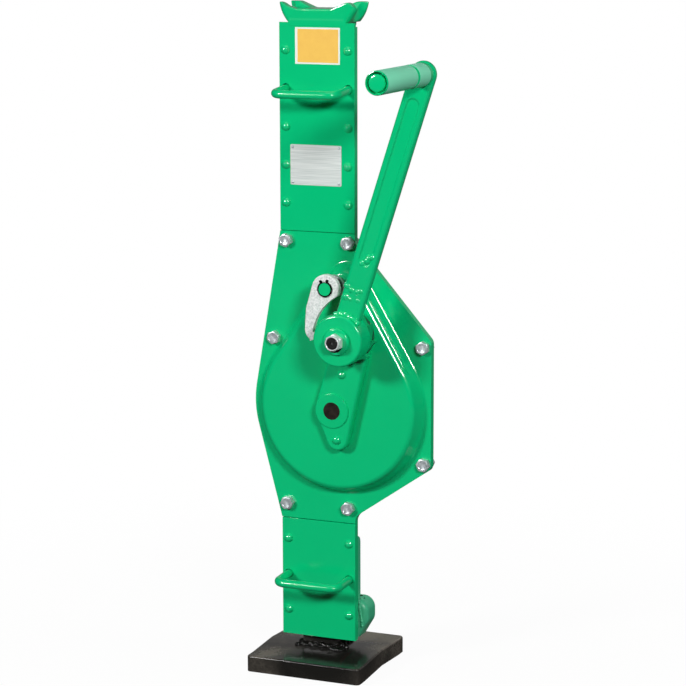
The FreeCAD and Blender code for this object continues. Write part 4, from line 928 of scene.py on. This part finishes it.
bpy.ops.mesh.primitive_plane_add(size=FLOOR_SIZE_M, location=(0, 0, -FLOOR_DROP_M))
floor = bpy.context.object
floor.name = "studio_floor"
material, tree, place, output = material_tree("pale_studio_floor")
spot = add(tree, "ShaderNodeSeparateXYZ", None, None, {"Vector": (place, "Object")})
behind = add(tree, "ShaderNodeMapRange", {"interpolation_type": "SMOOTHSTEP"},
             {"From Min": 1.0, "From Max": 3.0, "To Max": MIRRORED_FLOOR}, {"Value": (spot, "Y")})
direct = seen_directly(tree, behind)
far = add(tree, "ShaderNodeVectorMath", {"operation": "LENGTH"}, None, {0: (place, "Object")})
share = add(tree, "ShaderNodeMapRange", {"interpolation_type": "SMOOTHSTEP"},
            {"From Min": 0.1, "From Max": 0.9, "To Min": GLOW_SHARE, "To Max": 1.0}, {"Value": (far, "Value")})
paper = add(tree, "ShaderNodeBsdfDiffuse", None, {"Color": linear("#F8F8F6")})
glow = add(tree, "ShaderNodeEmission", None, {"Color": WHITE, "Strength": 1.0})
shown = add(tree, "ShaderNodeMixShader", None, None, {0: (share, "Result"), 1: (paper, 0), 2: (glow, 0)})
sheet = add(tree, "ShaderNodeBsdfDiffuse", None, {"Color": linear("#3C3C3C")})
blend = add(tree, "ShaderNodeMixShader", None, None, {0: (direct, 0), 1: (sheet, 0), 2: (shown, 0)})
tree.links.new(blend.outputs[0], output.inputs["Surface"])
floor.data.materials.append(material)
print(floor.name, "is", FLOOR_SIZE_M, "m wide")

# %% [markdown]
# ## World
# The world behind the floor follows the same rule: white to the camera and to glass, very dim as a light, and
# weakly mirrored by gloss paint only in a low band behind the jack. The Standard view transform shows colours
# as they are written.

# %% World
MIRRORED_WORLD = 0.25
world = bpy.data.worlds.new("white_studio")
bpy.context.scene.world = world
world.use_nodes = True
tree = world.node_tree
tree.nodes.clear()
way = add(tree, "ShaderNodeTexCoord")
spot = add(tree, "ShaderNodeSeparateXYZ", None, None, {"Vector": (way, "Generated")})
behind = add(tree, "ShaderNodeMapRange", {"interpolation_type": "SMOOTHSTEP"},
             {"From Min": 0.6, "From Max": 0.9}, {"Value": (spot, "Y")})
low = add(tree, "ShaderNodeMapRange", {"interpolation_type": "SMOOTHSTEP"},
          {"From Min": 0.35, "From Max": 0.6, "To Min": MIRRORED_WORLD, "To Max": 0.0}, {"Value": (spot, "Z")})
backdrop = add(tree, "ShaderNodeMath", {"operation": "MULTIPLY"}, None, {0: (behind, 0), 1: (low, 0)})
soft = add(tree, "ShaderNodeBackground", None, {"Color": WHITE, "Strength": 0.02})
white = add(tree, "ShaderNodeBackground", None, {"Color": WHITE, "Strength": 1.0})
blend = add(tree, "ShaderNodeMixShader", None, None,
            {0: (seen_directly(tree, backdrop), 0), 1: (soft, 0), 2: (white, 0)})
add(tree, "ShaderNodeOutputWorld", None, None, {"Surface": (blend, 0)})
bpy.context.scene.view_settings.view_transform = "Standard"
print("world:", world.name)

# %% [markdown]
# ## Lamps
# Two soft boxes stand in front, left and right. They give the two lights that every rivet shows, and the
# streaks on the dome. A dim box hangs overhead. A kicker at the right and a panel at the back fill the sides
# that the boxes leave dark, and both are kept out of reflections, because the paint shows no lamp there.

# %% Lamps
def soft_box(name, azimuth, elevation, distance, width, height, power, mirrored=True):
    """Area lamp that looks at the middle of the jack; angles in degrees, lengths in metres, power in watts."""
    swing, rise = math.radians(azimuth), math.radians(elevation)
    facing = Euler((math.pi / 2 - rise, 0, swing))
    spot = AIM + facing.to_matrix() @ Vector((0, 0, distance))
    bpy.ops.object.light_add(type="AREA", location=spot, rotation=facing)
    lamp = bpy.context.object
    lamp.name = name
    lamp.data.shape = "RECTANGLE"
    lamp.data.size = width
    lamp.data.size_y = height
    lamp.data.energy = power
    lamp.visible_camera = False
    lamp.visible_glossy = mirrored


soft_box("soft_box_left", azimuth=-33, elevation=21.5, distance=3.2, width=0.6, height=0.4, power=60)
soft_box("soft_box_right", azimuth=40, elevation=23.7, distance=3.2, width=0.6, height=0.4, power=57)
soft_box("overhead_box", azimuth=0, elevation=80, distance=2.0, width=1.4, height=1.4, power=3.0)
soft_box("side_kicker", azimuth=95, elevation=25, distance=2.8, width=0.6, height=0.6, power=12, mirrored=False)
soft_box("back_panel", azimuth=-172, elevation=14, distance=2.6, width=1.6, height=0.9, power=26, mirrored=False)
